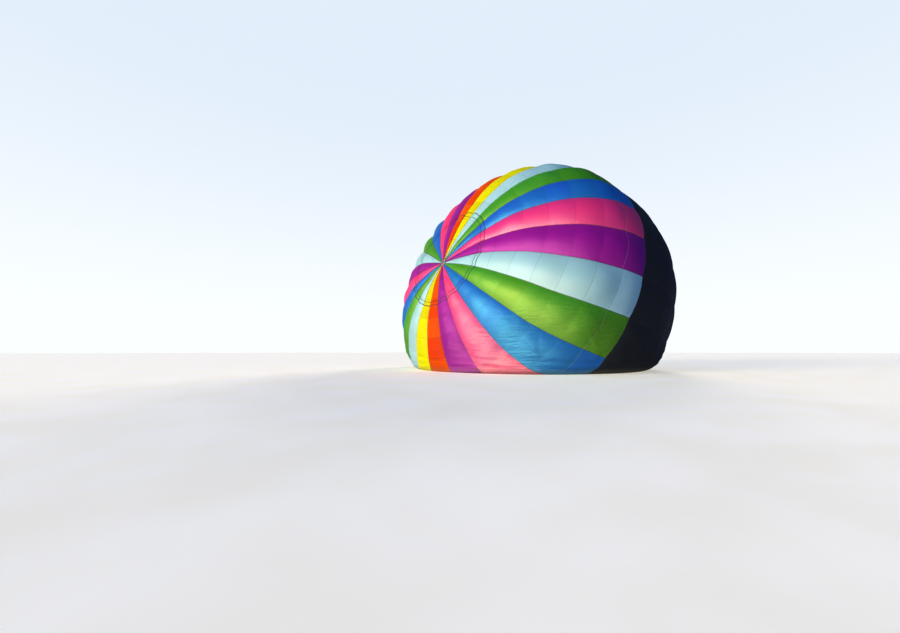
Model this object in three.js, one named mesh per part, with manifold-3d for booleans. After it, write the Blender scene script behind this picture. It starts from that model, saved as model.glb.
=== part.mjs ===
// A hot air balloon lying on its side on level ground while cold air fills it.
// The crown faces -X, the mouth and the basket are at the +X end, +Z is up, and all sizes are in millimetres.
// The origin is on the ground, under the middle of the whole balloon.
import * as THREE from "three";
import * as BufferGeometryUtils from "three/addons/utils/BufferGeometryUtils.js";
import Module from "manifold-3d";

const wasm = await Module();
wasm.setup();

// Envelope: the meridian from the crown to the mouth, as when it is tight
const FULL_RADIUS = 9000;
const CROWN_DEPTH = 0.81 * FULL_RADIUS; // crown to widest hoop, along the axis
const CROWN_FULLNESS = 0.72; // 1 gives an ellipse, less gives squarer shoulders
const CONE_ANGLE = 0.75; // half angle of the cone that runs to the mouth, radians
const MOUTH_RADIUS = 0.21 * FULL_RADIUS;

// Envelope: how it lies
const CROWN_PITCH = THREE.MathUtils.degToRad(21); // the crown faces this far above the horizon
const MOUTH_PITCH_SHARE = 0.3; // share of that tilt left at the mouth
const AXIS_HEIGHT = 0.594 * FULL_RADIUS; // at the widest hoop
const AXIS_SLOPE = -0.27; // the axis falls towards the mouth
const MOUTH_RISE_FROM = 0.3 * FULL_RADIUS; // from here the axis levels out
const MOUTH_REST = 0.93; // height of the mouth's middle, as a share of its radius
const CROWN_DROP = 0.078 * FULL_RADIUS; // the slack crown sags by this much
const CROWN_DROP_REACH = 0.95 * FULL_RADIUS;
const GROUND_FILLET = 700; // cloth length over which a side turns on to the ground

// Envelope: gores and panels
const GORES = 24;
const GORE_ANGLE = (2 * Math.PI) / GORES;
const FIRST_SEAM = THREE.MathUtils.degToRad(5.64); // clockwise from the top, seen from the crown
const SKIN = 10;
const SEAM_GAP = 0.3;
const CROWN_BULGE = 0.13; // how far a gore billows, as a share of its width
const SIDE_BULGE = 0.12;
const DARK_BULGE = 0.03; // the dark band is drawn almost flat between its tapes
const BULGE_FADE = 2600; // length over which the billow fades towards the dark band
const BULGE_CLEAR_OF_GROUND = 1500; // the billow fades below this height
const BULGE_CLEAR_OF_MOUTH = 1800;
const VALVE_EDGE = 3270; // along the cloth from the crown's middle
const VALVE_LAP = 250;
const DARK_EDGE = 12120; // where the coloured cloth ends and the dark band begins
const COLUMNS = 4; // facets across a gore
const GORE_ROWS = 8;
const DARK_ROWS = 6;
const DARK_PANELS = 6;

const COLOURS = {
  yellow: 0xf2e21c,
  white: 0xd9ece6,
  green: 0x3fa535,
  blue: 0x1478d4,
  pink: 0xee2f7f,
  purple: 0x8f1a8c,
  red: 0xe8401a,
};
const GORE_COLOURS = [
  "yellow", "white", "green", "blue", "pink", "purple",
  "white", "green", "blue", "pink", "purple", "red",
];

// Crown ring and the tapes over the valve
const RING_RADIUS = 250;
const RING_TUBE = 18;
const TAPE_WIDTH = 50;
const TAPE_THICK = 5;
const TAPE_CLEAR = 0.95;

// Mouth ring and flying wires
const MOUTH_TUBE = 14;
const WIRE_RADIUS = 5;
const WIRE_SIDES = 6;
const WIRE_CLEAR = 0.1;
const LINK_RADIUS = 6;
const LINK_HALF_WIDTH = 30;
const LINK_LENGTH = 110;
const LINK_CLEAR = 1.4; // at the middle of the lug, with the link's bend and the hole's facets allowed for
const WIRE_SPACING = 15; // on the link's pin

// Basket, upright in its own frame: x across from the side it lies on, y along, z up from the runners' feet
const BASKET_WIDTH = 1200;
const BASKET_LENGTH = 1500;
const BASKET_HEIGHT = 1150;
const WALL = 35;
const FLOOR = 20;
const RIM_TUBE = 45;
const BASE_TUBE = 45;
const CORNER_RADIUS = 95; // at the outer edge
const RUNNER = { width: 70, height: 45, inset: 260 };
const STEP = { width: 240, height: 120, centre: 520, offset: 190 };
const GAP = 0.3;

// Load frame, burners and uprights, in the basket's frame
const FRAME_HEIGHT = 2050; // middle of the frame's tubes, above the ground that the basket stands on
const FRAME_TUBE = 40;
const FRAME_HALF = { x: 450, y: 600 };
const UPRIGHT_RADIUS = 22;
const LUG = { thick: 12, width: 60, rise: 75, hole: 17 };
const GIMBAL = { halfX: 270, halfY: 390, bar: 26 };
const PIN_RADIUS = 10;
const BORE_RADIUS = 10.6;
const BOSS_RADIUS = 22;
const BLOCK = { x: 150, y: 560, z: 90 };
const CAN = { radius: 150, height: 430, wall: 6, spacing: 166, foot: 30, cone: 25 };
const COIL = { radius: 124, tube: 8, turns: 4, pitch: 68 };

const TANK = { radius: 150, height: 880, foot: 110, collar: 100, round: 90 };

const WIRE_REACH = 2700; // mouth ring to load frame, along X

// The meridian as a table of arc length, axial place (0 at the widest hoop) and radius
function makeMeridian() {
  const points = [];
  const steps = 96;
  for (let i = 0; i <= steps; i++) {
    const t = ((Math.PI / 2) * i) / steps;
    const depth = i === steps ? 0 : Math.cos(t) ** CROWN_FULLNESS;
    points.push([-CROWN_DEPTH * depth, FULL_RADIUS * Math.sin(t)]);
  }
  for (let i = 1; i <= steps; i++) {
    const t = (CONE_ANGLE * i) / steps;
    points.push([FULL_RADIUS * Math.sin(t), FULL_RADIUS * Math.cos(t)]);
  }
  const [coneStart, coneRadius] = points[points.length - 1];
  const coneLength = (coneRadius - MOUTH_RADIUS) / Math.sin(CONE_ANGLE);
  points.push([coneStart + coneLength * Math.cos(CONE_ANGLE), MOUTH_RADIUS]);
  let along = 0;
  return points.map(([axial, radius], i) => {
    if (i > 0) {
      along += Math.hypot(axial - points[i - 1][0], radius - points[i - 1][1]);
    }
    return { along, axial, radius };
  });
}

const MERIDIAN = makeMeridian();
const MOUTH_EDGE = MERIDIAN[MERIDIAN.length - 1].along;
const MOUTH_AXIAL = MERIDIAN[MERIDIAN.length - 1].axial;

function stationAt(along) {
  const next = MERIDIAN.findIndex((m) => m.along > along);
  const i = next < 0 ? MERIDIAN.length - 1 : Math.max(1, next);
  const [low, high] = [MERIDIAN[i - 1], MERIDIAN[i]];
  const share = (along - low.along) / (high.along - low.along);
  return {
    axial: THREE.MathUtils.lerp(low.axial, high.axial, share),
    radius: Math.max(0.01, THREE.MathUtils.lerp(low.radius, high.radius, share)),
  };
}

// A hoop of cloth pressed on the ground is an arc closed by a chord, with the girth of the free circle
function pressedHoop(radius, height) {
  if (height >= 2 * radius) {
    return { arcRadius: radius, arcHalf: Math.PI * radius, chordHalf: 0, fillet: 0 };
  }
  const arcFor = (half) => (Math.PI * radius) / (Math.PI - half + Math.sin(half));
  let low = 0;
  let high = Math.PI * 0.999;
  for (let i = 0; i < 50; i++) {
    const half = (low + high) / 2;
    if ((1 + Math.cos(half)) * arcFor(half) > height) {
      low = half;
    } else {
      high = half;
    }
  }
  const arcRadius = arcFor(low);
  const chordHalf = arcRadius * Math.sin(low);
  return {
    arcRadius,
    arcHalf: arcRadius * (Math.PI - low),
    chordHalf,
    fillet: Math.min(GROUND_FILLET, chordHalf),
  };
}

// Sideways place and height of the cloth in a hoop's own plane, at a cloth length from its top
function hoopPoint(hoop, height, length) {
  const reach = Math.abs(length);
  const side = Math.sign(length);
  const onArc = (l) => [
    hoop.arcRadius * Math.sin(l / hoop.arcRadius),
    height - hoop.arcRadius + hoop.arcRadius * Math.cos(l / hoop.arcRadius),
  ];
  if (reach <= hoop.arcHalf - hoop.fillet) {
    const [across, up] = onArc(reach);
    return [side * across, up];
  }
  if (reach >= hoop.arcHalf + hoop.fillet) {
    return [side * (hoop.chordHalf - (reach - hoop.arcHalf)), 0];
  }
  const t = (reach - hoop.arcHalf + hoop.fillet) / (2 * hoop.fillet);
  const [startAcross, startUp] = onArc(hoop.arcHalf - hoop.fillet);
  const endAcross = hoop.chordHalf - hoop.fillet;
  const across =
    (1 - t) ** 2 * startAcross + 2 * t * (1 - t) * hoop.chordHalf + t ** 2 * endAcross;
  return [side * across, (1 - t) ** 2 * startUp];
}

function tiltAt(axial) {
  const towardsMouth = Math.max(0, axial / MOUTH_AXIAL);
  return CROWN_PITCH * (1 - (1 - MOUTH_PITCH_SHARE) * towardsMouth ** 2);
}

function axisHeightAt(axial) {
  const mouthHeight = MOUTH_REST * MOUTH_RADIUS * Math.cos(tiltAt(MOUTH_AXIAL));
  const fall = AXIS_HEIGHT + AXIS_SLOPE * MOUTH_AXIAL;
  const rise = (mouthHeight - fall) / (MOUTH_AXIAL - MOUTH_RISE_FROM) ** 2;
  const past = Math.max(0, axial - MOUTH_RISE_FROM);
  return AXIS_HEIGHT + AXIS_SLOPE * axial + rise * past ** 2;
}

// The cloth's smooth surface, before the gores billow. The angle is clockwise from the top, seen from the crown
function smoothPoint(along, angle) {
  const { axial, radius } = stationAt(along);
  const tilt = tiltAt(axial);
  const axisHeight = axisHeightAt(axial);
  const height = radius + axisHeight / Math.cos(tilt);
  const wrapped = THREE.MathUtils.euclideanModulo(angle + Math.PI, 2 * Math.PI) - Math.PI;
  const hoop = pressedHoop(radius, height);
  const [across, up] = hoopPoint(hoop, height, wrapped * radius);
  const rise = up - (height - radius);
  const slack = axial < 0 ? Math.max(0, 1 - radius / CROWN_DROP_REACH) ** 2 : 0;
  return new THREE.Vector3(
    axial + rise * Math.sin(tilt),
    -across,
    Math.max(0, axisHeight + rise * Math.cos(tilt) - CROWN_DROP * slack),
  );
}

function tangents(along, angle) {
  const step = 4;
  const turn = 0.001;
  const near = Math.max(along - step, 0);
  const lengthwise = smoothPoint(near + 2 * step, angle).sub(smoothPoint(near, angle));
  const sideways = smoothPoint(along, angle + turn).sub(smoothPoint(along, angle - turn));
  return [lengthwise.normalize(), sideways.normalize()];
}

function outwardNormal(along, angle) {
  const [lengthwise, sideways] = tangents(Math.max(along, 60), angle);
  return sideways.cross(lengthwise).normalize();
}

function bulgeShare(along) {
  const towardsSide = THREE.MathUtils.smoothstep(along, 0, FULL_RADIUS);
  const towardsDark = THREE.MathUtils.smoothstep(along, DARK_EDGE - BULGE_FADE, DARK_EDGE);
  const nearMouth = THREE.MathUtils.smoothstep(MOUTH_EDGE - along, 0, BULGE_CLEAR_OF_MOUTH);
  const coloured = THREE.MathUtils.lerp(CROWN_BULGE, SIDE_BULGE, towardsSide);
  return THREE.MathUtils.lerp(coloured, DARK_BULGE, towardsDark) * nearMouth;
}

// The cloth's outer face, raised along its normal
function clothPoint(along, angle, raised = 0) {
  const point = smoothPoint(along, angle);
  const normal = outwardNormal(along, angle);
  const turns = (angle - FIRST_SEAM) / GORE_ANGLE;
  const offMiddle = 2 * (turns - Math.floor(turns + 1e-9)) - 1;
  const width = GORE_ANGLE * stationAt(along).radius;
  const offGround = THREE.MathUtils.smoothstep(point.z, 0, BULGE_CLEAR_OF_GROUND);
  const billow = bulgeShare(along) * width * (0.5 - offMiddle ** 2) * offGround;
  return point.addScaledVector(normal, billow + raised);
}

// A grid of outer points over a grid of inner points, closed along its four sides
function shellGeometry(outer, inner) {
  const rows = outer.length;
  const columns = outer[0].length;
  const positions = [...outer.flat(), ...inner.flat()].flatMap((p) => [p.x, p.y, p.z]);
  const top = (r, c) => r * columns + c;
  const under = (r, c) => rows * columns + top(r, c);
  const faces = [];
  const quad = (a, b, c, d) => faces.push(a, b, c, a, c, d);
  for (let r = 0; r < rows - 1; r++) {
    for (let c = 0; c < columns - 1; c++) {
      quad(top(r, c), top(r, c + 1), top(r + 1, c + 1), top(r + 1, c));
      quad(under(r, c), under(r + 1, c), under(r + 1, c + 1), under(r, c + 1));
    }
    quad(top(r, 0), top(r + 1, 0), under(r + 1, 0), under(r, 0));
    const last = columns - 1;
    quad(top(r, last), under(r, last), under(r + 1, last), top(r + 1, last));
  }
  for (let c = 0; c < columns - 1; c++) {
    quad(top(0, c), under(0, c), under(0, c + 1), top(0, c + 1));
    const last = rows - 1;
    quad(top(last, c), top(last, c + 1), under(last, c + 1), under(last, c));
  }
  return indexedGeometry(positions, faces);
}

function indexedGeometry(positions, faces) {
  const geometry = new THREE.BufferGeometry();
  geometry.setAttribute("position", new THREE.Float32BufferAttribute(positions, 3));
  geometry.setIndex(faces);
  return geometry;
}

// A stretch of the envelope, some gores wide, between two lengths along the cloth
function clothPanel(alongs, firstSeam, gores) {
  const columns = gores * COLUMNS;
  const rowOf = (along, raised) => {
    const trim = SEAM_GAP / 2 / stationAt(along).radius;
    const start = FIRST_SEAM + firstSeam * GORE_ANGLE + trim;
    const span = gores * GORE_ANGLE - 2 * trim;
    const row = [];
    for (let c = 0; c <= columns; c++) {
      row.push(clothPoint(along, start + (span * c) / columns, raised));
    }
    return row;
  };
  return shellGeometry(
    alongs.map((s) => rowOf(s, 0)),
    alongs.map((s) => rowOf(s, -SKIN)),
  );
}

function evenSteps(from, to, count) {
  return Array.from({ length: count + 1 }, (_, i) => from + ((to - from) * i) / count);
}

// The valve is a whole disc of cloth that closes the crown from inside, lapping under the gores' upper ends
function valveGeometry() {
  const rings = [VALVE_EDGE * 0.33, VALVE_EDGE * 0.66, VALVE_EDGE, VALVE_EDGE + VALVE_LAP];
  const columns = GORES * COLUMNS;
  const sunk = -SKIN - 2 * GAP;
  const positions = [];
  const faces = [];
  for (const raised of [sunk, sunk - SKIN]) {
    const centre = clothPoint(1, 0, raised);
    positions.push(centre.x, centre.y, centre.z);
    for (const along of rings) {
      for (let c = 0; c < columns; c++) {
        const p = clothPoint(along, FIRST_SEAM + (c * GORE_ANGLE) / COLUMNS, raised);
        positions.push(p.x, p.y, p.z);
      }
    }
  }
  const perSide = 1 + rings.length * columns;
  const at = (side, ring, c) => side * perSide + 1 + ring * columns + (c % columns);
  const face = (side, a, b, c) => faces.push(...(side === 0 ? [a, b, c] : [a, c, b]));
  for (const side of [0, 1]) {
    for (let c = 0; c < columns; c++) {
      face(side, side * perSide, at(side, 0, c + 1), at(side, 0, c));
      for (let r = 0; r < rings.length - 1; r++) {
        face(side, at(side, r, c), at(side, r, c + 1), at(side, r + 1, c + 1));
        face(side, at(side, r, c), at(side, r + 1, c + 1), at(side, r + 1, c));
      }
    }
  }
  const rim = rings.length - 1;
  for (let c = 0; c < columns; c++) {
    faces.push(at(0, rim, c), at(0, rim, c + 1), at(1, rim, c + 1));
    faces.push(at(0, rim, c), at(1, rim, c + 1), at(1, rim, c));
  }
  return indexedGeometry(positions, faces);
}

// A load tape along one seam, over the valve and on to the gores' upper ends
function crownTape(seam) {
  const angle = FIRST_SEAM + seam * GORE_ANGLE;
  const alongs = [
    RING_RADIUS, VALVE_EDGE * 0.33, VALVE_EDGE * 0.66, VALVE_EDGE, VALVE_EDGE + VALVE_LAP,
  ];
  const halfWidth = TAPE_WIDTH / 2;
  const corners = (along) => {
    const [, sideways] = tangents(along, angle);
    const groove = halfWidth * (3 * bulgeShare(along) - GORE_ANGLE / 8);
    const low = clothPoint(along, angle, groove + TAPE_CLEAR);
    const high = clothPoint(along, angle, groove + TAPE_CLEAR + TAPE_THICK);
    return [
      [high.clone().addScaledVector(sideways, -halfWidth), high.clone().addScaledVector(sideways, halfWidth)],
      [low.clone().addScaledVector(sideways, -halfWidth), low.clone().addScaledVector(sideways, halfWidth)],
    ];
  };
  const rows = alongs.map(corners);
  return shellGeometry(rows.map((r) => r[0]), rows.map((r) => r[1]));
}

// Booleans on closed meshes
function toSolid(geometry) {
  const bare = geometry.clone();
  bare.deleteAttribute("normal");
  bare.deleteAttribute("uv");
  const merged = BufferGeometryUtils.mergeVertices(bare, 1e-3);
  return new wasm.Manifold(
    new wasm.Mesh({
      numProp: 3,
      vertProperties: new Float32Array(merged.attributes.position.array),
      triVerts: new Uint32Array(merged.index.array),
    }),
  );
}

function toGeometry(solid) {
  const mesh = solid.getMesh();
  return indexedGeometry(Array.from(mesh.vertProperties), Array.from(mesh.triVerts));
}

function join(geometries) {
  return toGeometry(geometries.map(toSolid).reduce((a, b) => a.add(b)));
}

function cut(geometry, tools) {
  return toGeometry(tools.map(toSolid).reduce((a, b) => a.subtract(b), toSolid(geometry)));
}

// A round bar between two points
function barBetween(start, end, radius, sides = 8) {
  const way = end.clone().sub(start);
  const bar = new THREE.CylinderGeometry(radius, radius, way.length(), sides);
  const turn = new THREE.Quaternion().setFromUnitVectors(
    new THREE.Vector3(0, 1, 0),
    way.clone().normalize(),
  );
  bar.applyQuaternion(turn);
  const middle = start.clone().add(end).multiplyScalar(0.5);
  return bar.translate(middle.x, middle.y, middle.z);
}

function boxAt(x, y, z, width, length, height) {
  return new THREE.BoxGeometry(width, length, height).translate(x, y, z);
}

function crownRingGeometry() {
  const ring = new THREE.TorusGeometry(RING_RADIUS, RING_TUBE, 8, GORES);
  const outward = new THREE.Vector3(-Math.cos(CROWN_PITCH), 0, Math.sin(CROWN_PITCH));
  ring.applyQuaternion(
    new THREE.Quaternion().setFromUnitVectors(new THREE.Vector3(0, 0, 1), outward),
  );
  const middle = new THREE.Vector3();
  for (let seam = 0; seam < GORES; seam++) {
    middle.add(clothPoint(RING_RADIUS, FIRST_SEAM + seam * GORE_ANGLE, RING_TUBE / 2));
  }
  middle.divideScalar(GORES);
  ring.translate(middle.x, middle.y, middle.z);
  const tapes = Array.from({ length: GORES }, (_, seam) => crownTape(seam));
  return join([ring, ...tapes]);
}

// The mouth's edge tube, beyond the last of the cloth and no lower than the ground
function mouthRingPoint(angle, beyond = MOUTH_TUBE + 2 * GAP) {
  const [lengthwise] = tangents(MOUTH_EDGE - 20, angle);
  const point = clothPoint(MOUTH_EDGE, angle, -SKIN / 2);
  const tilt = tiltAt(MOUTH_AXIAL);
  const planeNormal = new THREE.Vector3(Math.cos(tilt), 0, -Math.sin(tilt));
  point.addScaledVector(lengthwise, beyond / lengthwise.dot(planeNormal));
  const short = Math.max(0, MOUTH_TUBE / Math.cos(Math.PI / 8) - point.z) / Math.cos(tilt);
  point.x += short * Math.sin(tilt);
  point.z += short * Math.cos(tilt);
  return point;
}

function mouthRingGeometry() {
  const count = GORES * 2;
  const points = Array.from({ length: count }, (_, i) =>
    mouthRingPoint(FIRST_SEAM + (i * 2 * Math.PI) / count),
  );
  const tilt = tiltAt(MOUTH_AXIAL);
  const facing = new THREE.Vector3(Math.cos(tilt), 0, -Math.sin(tilt));
  return tubeThrough(points, MOUTH_TUBE, facing);
}

// The basket's frame turned on its side: its height runs towards the mouth
const MOUTH_X = mouthRingPoint(Math.PI / 2).x;
const GROUND_X = MOUTH_X + WIRE_REACH + FRAME_HEIGHT;
function basketToGround(x, y, z) {
  return new THREE.Vector3(GROUND_X - z, y, x);
}

const LUG_HOLE_HEIGHT = FRAME_HEIGHT + FRAME_TUBE / 2 + LUG.rise - LUG.width / 2;
const CORNERS = [
  { name: "upper_near", x: 1, y: -1 },
  { name: "lower_near", x: -1, y: -1 },
  { name: "lower_far", x: -1, y: 1 },
  { name: "upper_far", x: 1, y: 1 },
];

function cornerPlace(corner) {
  return {
    x: BASKET_WIDTH / 2 + corner.x * FRAME_HALF.x,
    y: corner.y * FRAME_HALF.y,
  };
}

// A quarter of the flying wires, side by side on the pin of the oval link that holds them to a lug
function flyingWires(index) {
  const corner = cornerPlace(CORNERS[index]);
  const hole = basketToGround(corner.x, corner.y, LUG_HOLE_HEIGHT);
  const perCorner = GORES / CORNERS.length;
  const ends = Array.from({ length: perCorner }, (_, i) => {
    const angle = FIRST_SEAM + (index * perCorner + i) * GORE_ANGLE;
    const ringway = mouthRingPoint(angle + 0.01).sub(mouthRingPoint(angle - 0.01)).normalize();
    return { place: mouthRingPoint(angle), ringway };
  });
  ends.sort((a, b) => a.place.y - b.place.y);
  const middle = new THREE.Vector3();
  ends.forEach(({ place: end }) => middle.addScaledVector(end, 1 / perCorner));
  const pull = middle.clone().sub(hole);
  pull.y = 0;
  pull.normalize();
  const near = hole.clone().addScaledVector(pull, LUG.hole - LINK_RADIUS - LINK_CLEAR);
  const gather = near.clone().addScaledVector(pull, LINK_LENGTH);
  const wires = ends.map(({ place: end, ringway }, i) => {
    const foot = gather.clone();
    foot.y += (i - (perCorner - 1) / 2) * WIRE_SPACING;
    const way = foot.clone().sub(end).normalize();
    const slant = Math.abs(way.dot(ringway));
    const clear = MOUTH_TUBE / Math.cos(Math.PI / 8) + WIRE_CLEAR + WIRE_RADIUS * slant;
    const start = end.clone().addScaledVector(way, clear / Math.sqrt(1 - slant ** 2));
    return barBetween(start, foot, WIRE_RADIUS, WIRE_SIDES);
  });
  const halfPin = (perCorner * WIRE_SPACING) / 2;
  const pin = barBetween(
    gather.clone().add(new THREE.Vector3(0, -halfPin, 0)),
    gather.clone().add(new THREE.Vector3(0, halfPin, 0)),
    PIN_RADIUS,
  );
  return join([ovalLink(near, gather), pin, ...wires]);
}

function ovalLink(near, far) {
  const way = far.clone().sub(near).normalize();
  const straight = LINK_LENGTH / 2 - LINK_HALF_WIDTH;
  const centre = near.clone().add(far).multiplyScalar(0.5);
  const points = [];
  for (let i = 0; i < 16; i++) {
    const turn = ((i + 0.5) / 16) * 2 * Math.PI;
    const along = Math.cos(turn) * LINK_HALF_WIDTH + Math.sign(Math.cos(turn)) * straight;
    const point = centre.clone().addScaledVector(way, along);
    point.y += Math.sin(turn) * LINK_HALF_WIDTH;
    points.push(point);
  }
  const curve = new THREE.CatmullRomCurve3(points, true, "centripetal");
  return new THREE.TubeGeometry(curve, 18, LINK_RADIUS, 6, true);
}

// The basket's outline with rounded corners, drawn in from its greatest width and length
function basketOutline(inset, height) {
  const perCorner = 4;
  const corners = [[1, 1, 0], [-1, 1, 1], [-1, -1, 2], [1, -1, 3]];
  const round = CORNER_RADIUS - inset;
  return corners.flatMap(([sideX, sideY, quarter]) =>
    Array.from({ length: perCorner + 1 }, (_, i) => {
      const turn = ((quarter + i / perCorner) * Math.PI) / 2;
      return new THREE.Vector3(
        BASKET_WIDTH / 2 + sideX * (BASKET_WIDTH / 2 - CORNER_RADIUS) + round * Math.cos(turn),
        sideY * (BASKET_LENGTH / 2 - CORNER_RADIUS) + round * Math.sin(turn),
        height,
      );
    }),
  );
}

function basketHoop(height, tube) {
  return tubeThrough(basketOutline(tube, height), tube, new THREE.Vector3(0, 0, 1));
}

function floorGeometry() {
  const outline = basketOutline(2 * BASE_TUBE + GAP, 0);
  const shape = new THREE.Shape(outline.map((p) => new THREE.Vector2(p.x, p.y)));
  const floor = new THREE.ExtrudeGeometry(shape, { depth: FLOOR, bevelEnabled: false });
  return floor.translate(0, 0, RUNNER.height);
}

// A closed tube with a ring of eight corners at each of its points, which turn anticlockwise about its facing
function tubeThrough(points, tube, facing) {
  const sides = 8;
  const corner = tube / Math.cos(Math.PI / sides);
  const positions = [];
  const faces = [];
  points.forEach((p, i) => {
    const before = points[(i + points.length - 1) % points.length];
    const after = points[(i + 1) % points.length];
    const out = after.clone().sub(before).cross(facing).normalize();
    for (let s = 0; s < sides; s++) {
      const turn = ((s + 0.5) / sides) * 2 * Math.PI;
      const place = p.clone().addScaledVector(out, corner * Math.cos(turn));
      place.addScaledVector(facing, corner * Math.sin(turn));
      positions.push(place.x, place.y, place.z);
      const next = ((i + 1) % points.length) * sides;
      const up = (s + 1) % sides;
      faces.push(i * sides + s, next + s, next + up, i * sides + s, next + up, i * sides + up);
    }
  });
  return indexedGeometry(positions, faces);
}

// A wicker wall along Y with its step holes
function wallGeometry(x, y, length, stepCentres) {
  const middle = WALL_FOOT + WALL_HEIGHT / 2;
  const wall = boxAt(x, y, middle, WALL, length, WALL_HEIGHT);
  const holes = stepCentres.map((step) =>
    boxAt(x, y + step, STEP.centre, 2 * WALL, STEP.width, STEP.height),
  );
  return cut(wall, holes);
}

const BASE_CENTRE = RUNNER.height + BASE_TUBE;
const WALL_FOOT = BASE_CENTRE + BASE_TUBE + GAP;
const RIM_CENTRE = BASKET_HEIGHT - RIM_TUBE;
const WALL_HEIGHT = RIM_CENTRE - RIM_TUBE - GAP - WALL_FOOT;
const PROUD = RIM_TUBE - WALL / 2; // the rim and the base edge stand out this far past the walls

function basketWalls() {
  const longSpan = BASKET_LENGTH - 2 * PROUD;
  const shortSpan = BASKET_WIDTH - 2 * (PROUD + WALL + GAP);
  const sideX = BASKET_WIDTH / 2 - PROUD - WALL / 2;
  const endY = BASKET_LENGTH / 2 - PROUD - WALL / 2;
  const centre = BASKET_WIDTH / 2;
  const steps = [-STEP.offset, STEP.offset];
  const endWall = (side) =>
    wallGeometry(side * endY, 0, shortSpan, [0]).rotateZ(Math.PI / 2).translate(centre, 0, 0);
  return {
    upper: wallGeometry(centre + sideX, 0, longSpan, steps),
    lower: wallGeometry(centre - sideX, 0, longSpan, steps),
    near: endWall(-1),
    far: endWall(1),
  };
}

// A padded upright leans in from the rim's corner to the load frame, and is cut flush with both
function uprightGeometry(corner) {
  const centre = BASKET_WIDTH / 2;
  const place = cornerPlace(corner);
  const foot = new THREE.Vector3(
    centre + corner.x * (centre - RIM_TUBE - 2),
    corner.y * (BASKET_LENGTH / 2 - RIM_TUBE - 90),
    BASKET_HEIGHT,
  );
  const top = new THREE.Vector3(place.x, place.y, FRAME_HEIGHT);
  const way = top.clone().sub(foot).normalize();
  const bar = barBetween(foot.clone().addScaledVector(way, -60), top, UPRIGHT_RADIUS, 12);
  const cutter = (z) => boxAt(place.x, place.y, z, 600, 600, 200);
  const low = cutter(BASKET_HEIGHT + GAP - 100);
  const high = cutter(FRAME_HEIGHT - FRAME_TUBE / 2 - GAP + 100);
  return cut(bar, [low, high]);
}

function loadFrameGeometry() {
  const { x, y } = FRAME_HALF;
  const centre = BASKET_WIDTH / 2;
  const z = FRAME_HEIGHT;
  const bars = [
    boxAt(centre - x, 0, z, FRAME_TUBE, 2 * y + FRAME_TUBE, FRAME_TUBE),
    boxAt(centre + x, 0, z, FRAME_TUBE, 2 * y + FRAME_TUBE, FRAME_TUBE),
    boxAt(centre, -y, z, 2 * x, FRAME_TUBE, FRAME_TUBE),
    boxAt(centre, y, z, 2 * x, FRAME_TUBE, FRAME_TUBE),
  ];
  const holes = [];
  for (const corner of CORNERS) {
    const place = cornerPlace(corner);
    const lugMiddle = z + FRAME_TUBE / 2 + LUG.rise / 2 - 1;
    bars.push(boxAt(place.x, place.y, lugMiddle, LUG.width, LUG.thick, LUG.rise + 2));
    holes.push(barBetween(
      new THREE.Vector3(place.x, place.y - 40, LUG_HOLE_HEIGHT),
      new THREE.Vector3(place.x, place.y + 40, LUG_HOLE_HEIGHT),
      LUG.hole,
      16,
    ));
  }
  for (const side of [-1, 1]) {
    const face = side * (y - FRAME_TUBE / 2);
    const tip = side * (GIMBAL.halfY + GIMBAL.bar / 2 + 40);
    bars.push(barBetween(
      new THREE.Vector3(centre, face + side, z),
      new THREE.Vector3(centre, tip, z),
      BOSS_RADIUS,
      16,
    ));
    holes.push(barBetween(
      new THREE.Vector3(centre, face - side * 2, z),
      new THREE.Vector3(centre, tip - side * 30, z),
      BORE_RADIUS,
      16,
    ));
  }
  return cut(join(bars), holes);
}

// The gimbal ring turns about Y in the load frame, and the burners turn about X in the ring
function gimbalGeometry() {
  const { halfX, halfY, bar } = GIMBAL;
  const centre = BASKET_WIDTH / 2;
  const z = FRAME_HEIGHT;
  const parts = [
    boxAt(centre - halfX, 0, z, bar, 2 * halfY + bar, bar),
    boxAt(centre + halfX, 0, z, bar, 2 * halfY + bar, bar),
    boxAt(centre, -halfY, z, 2 * halfX, bar, bar),
    boxAt(centre, halfY, z, 2 * halfX, bar, bar),
  ];
  const bores = [];
  for (const side of [-1, 1]) {
    const pinEnd = side * (FRAME_HALF.y - FRAME_TUBE / 2 - 6);
    parts.push(barBetween(
      new THREE.Vector3(centre, side * halfY, z),
      new THREE.Vector3(centre, pinEnd, z),
      PIN_RADIUS,
      16,
    ));
    const bossFoot = centre + side * (halfX - bar / 2);
    const bossTip = centre + side * (BLOCK.x / 2 + 60);
    parts.push(barBetween(
      new THREE.Vector3(bossFoot + side, 0, z),
      new THREE.Vector3(bossTip, 0, z),
      BOSS_RADIUS,
      16,
    ));
    bores.push(barBetween(
      new THREE.Vector3(bossFoot - side * 2, 0, z),
      new THREE.Vector3(bossTip - side * 30, 0, z),
      BORE_RADIUS,
      16,
    ));
  }
  return cut(join(parts), bores);
}

function burnerBlockGeometry() {
  const centre = BASKET_WIDTH / 2;
  const z = FRAME_HEIGHT;
  const parts = [boxAt(centre, 0, z, BLOCK.x, BLOCK.y, BLOCK.z)];
  for (const side of [-1, 1]) {
    const pinEnd = centre + side * (GIMBAL.halfX - GIMBAL.bar / 2 - 6);
    parts.push(barBetween(
      new THREE.Vector3(centre, 0, z),
      new THREE.Vector3(pinEnd, 0, z),
      PIN_RADIUS,
      16,
    ));
    const across = side * CAN.spacing;
    parts.push(barBetween(
      new THREE.Vector3(centre, across, z - BLOCK.z / 2 - 110),
      new THREE.Vector3(centre, across, z),
      34,
      12,
    ));
    parts.push(boxAt(centre - 70, across, z - BLOCK.z / 2 - 75, 150, 26, 18));
  }
  return join(parts);
}

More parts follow.
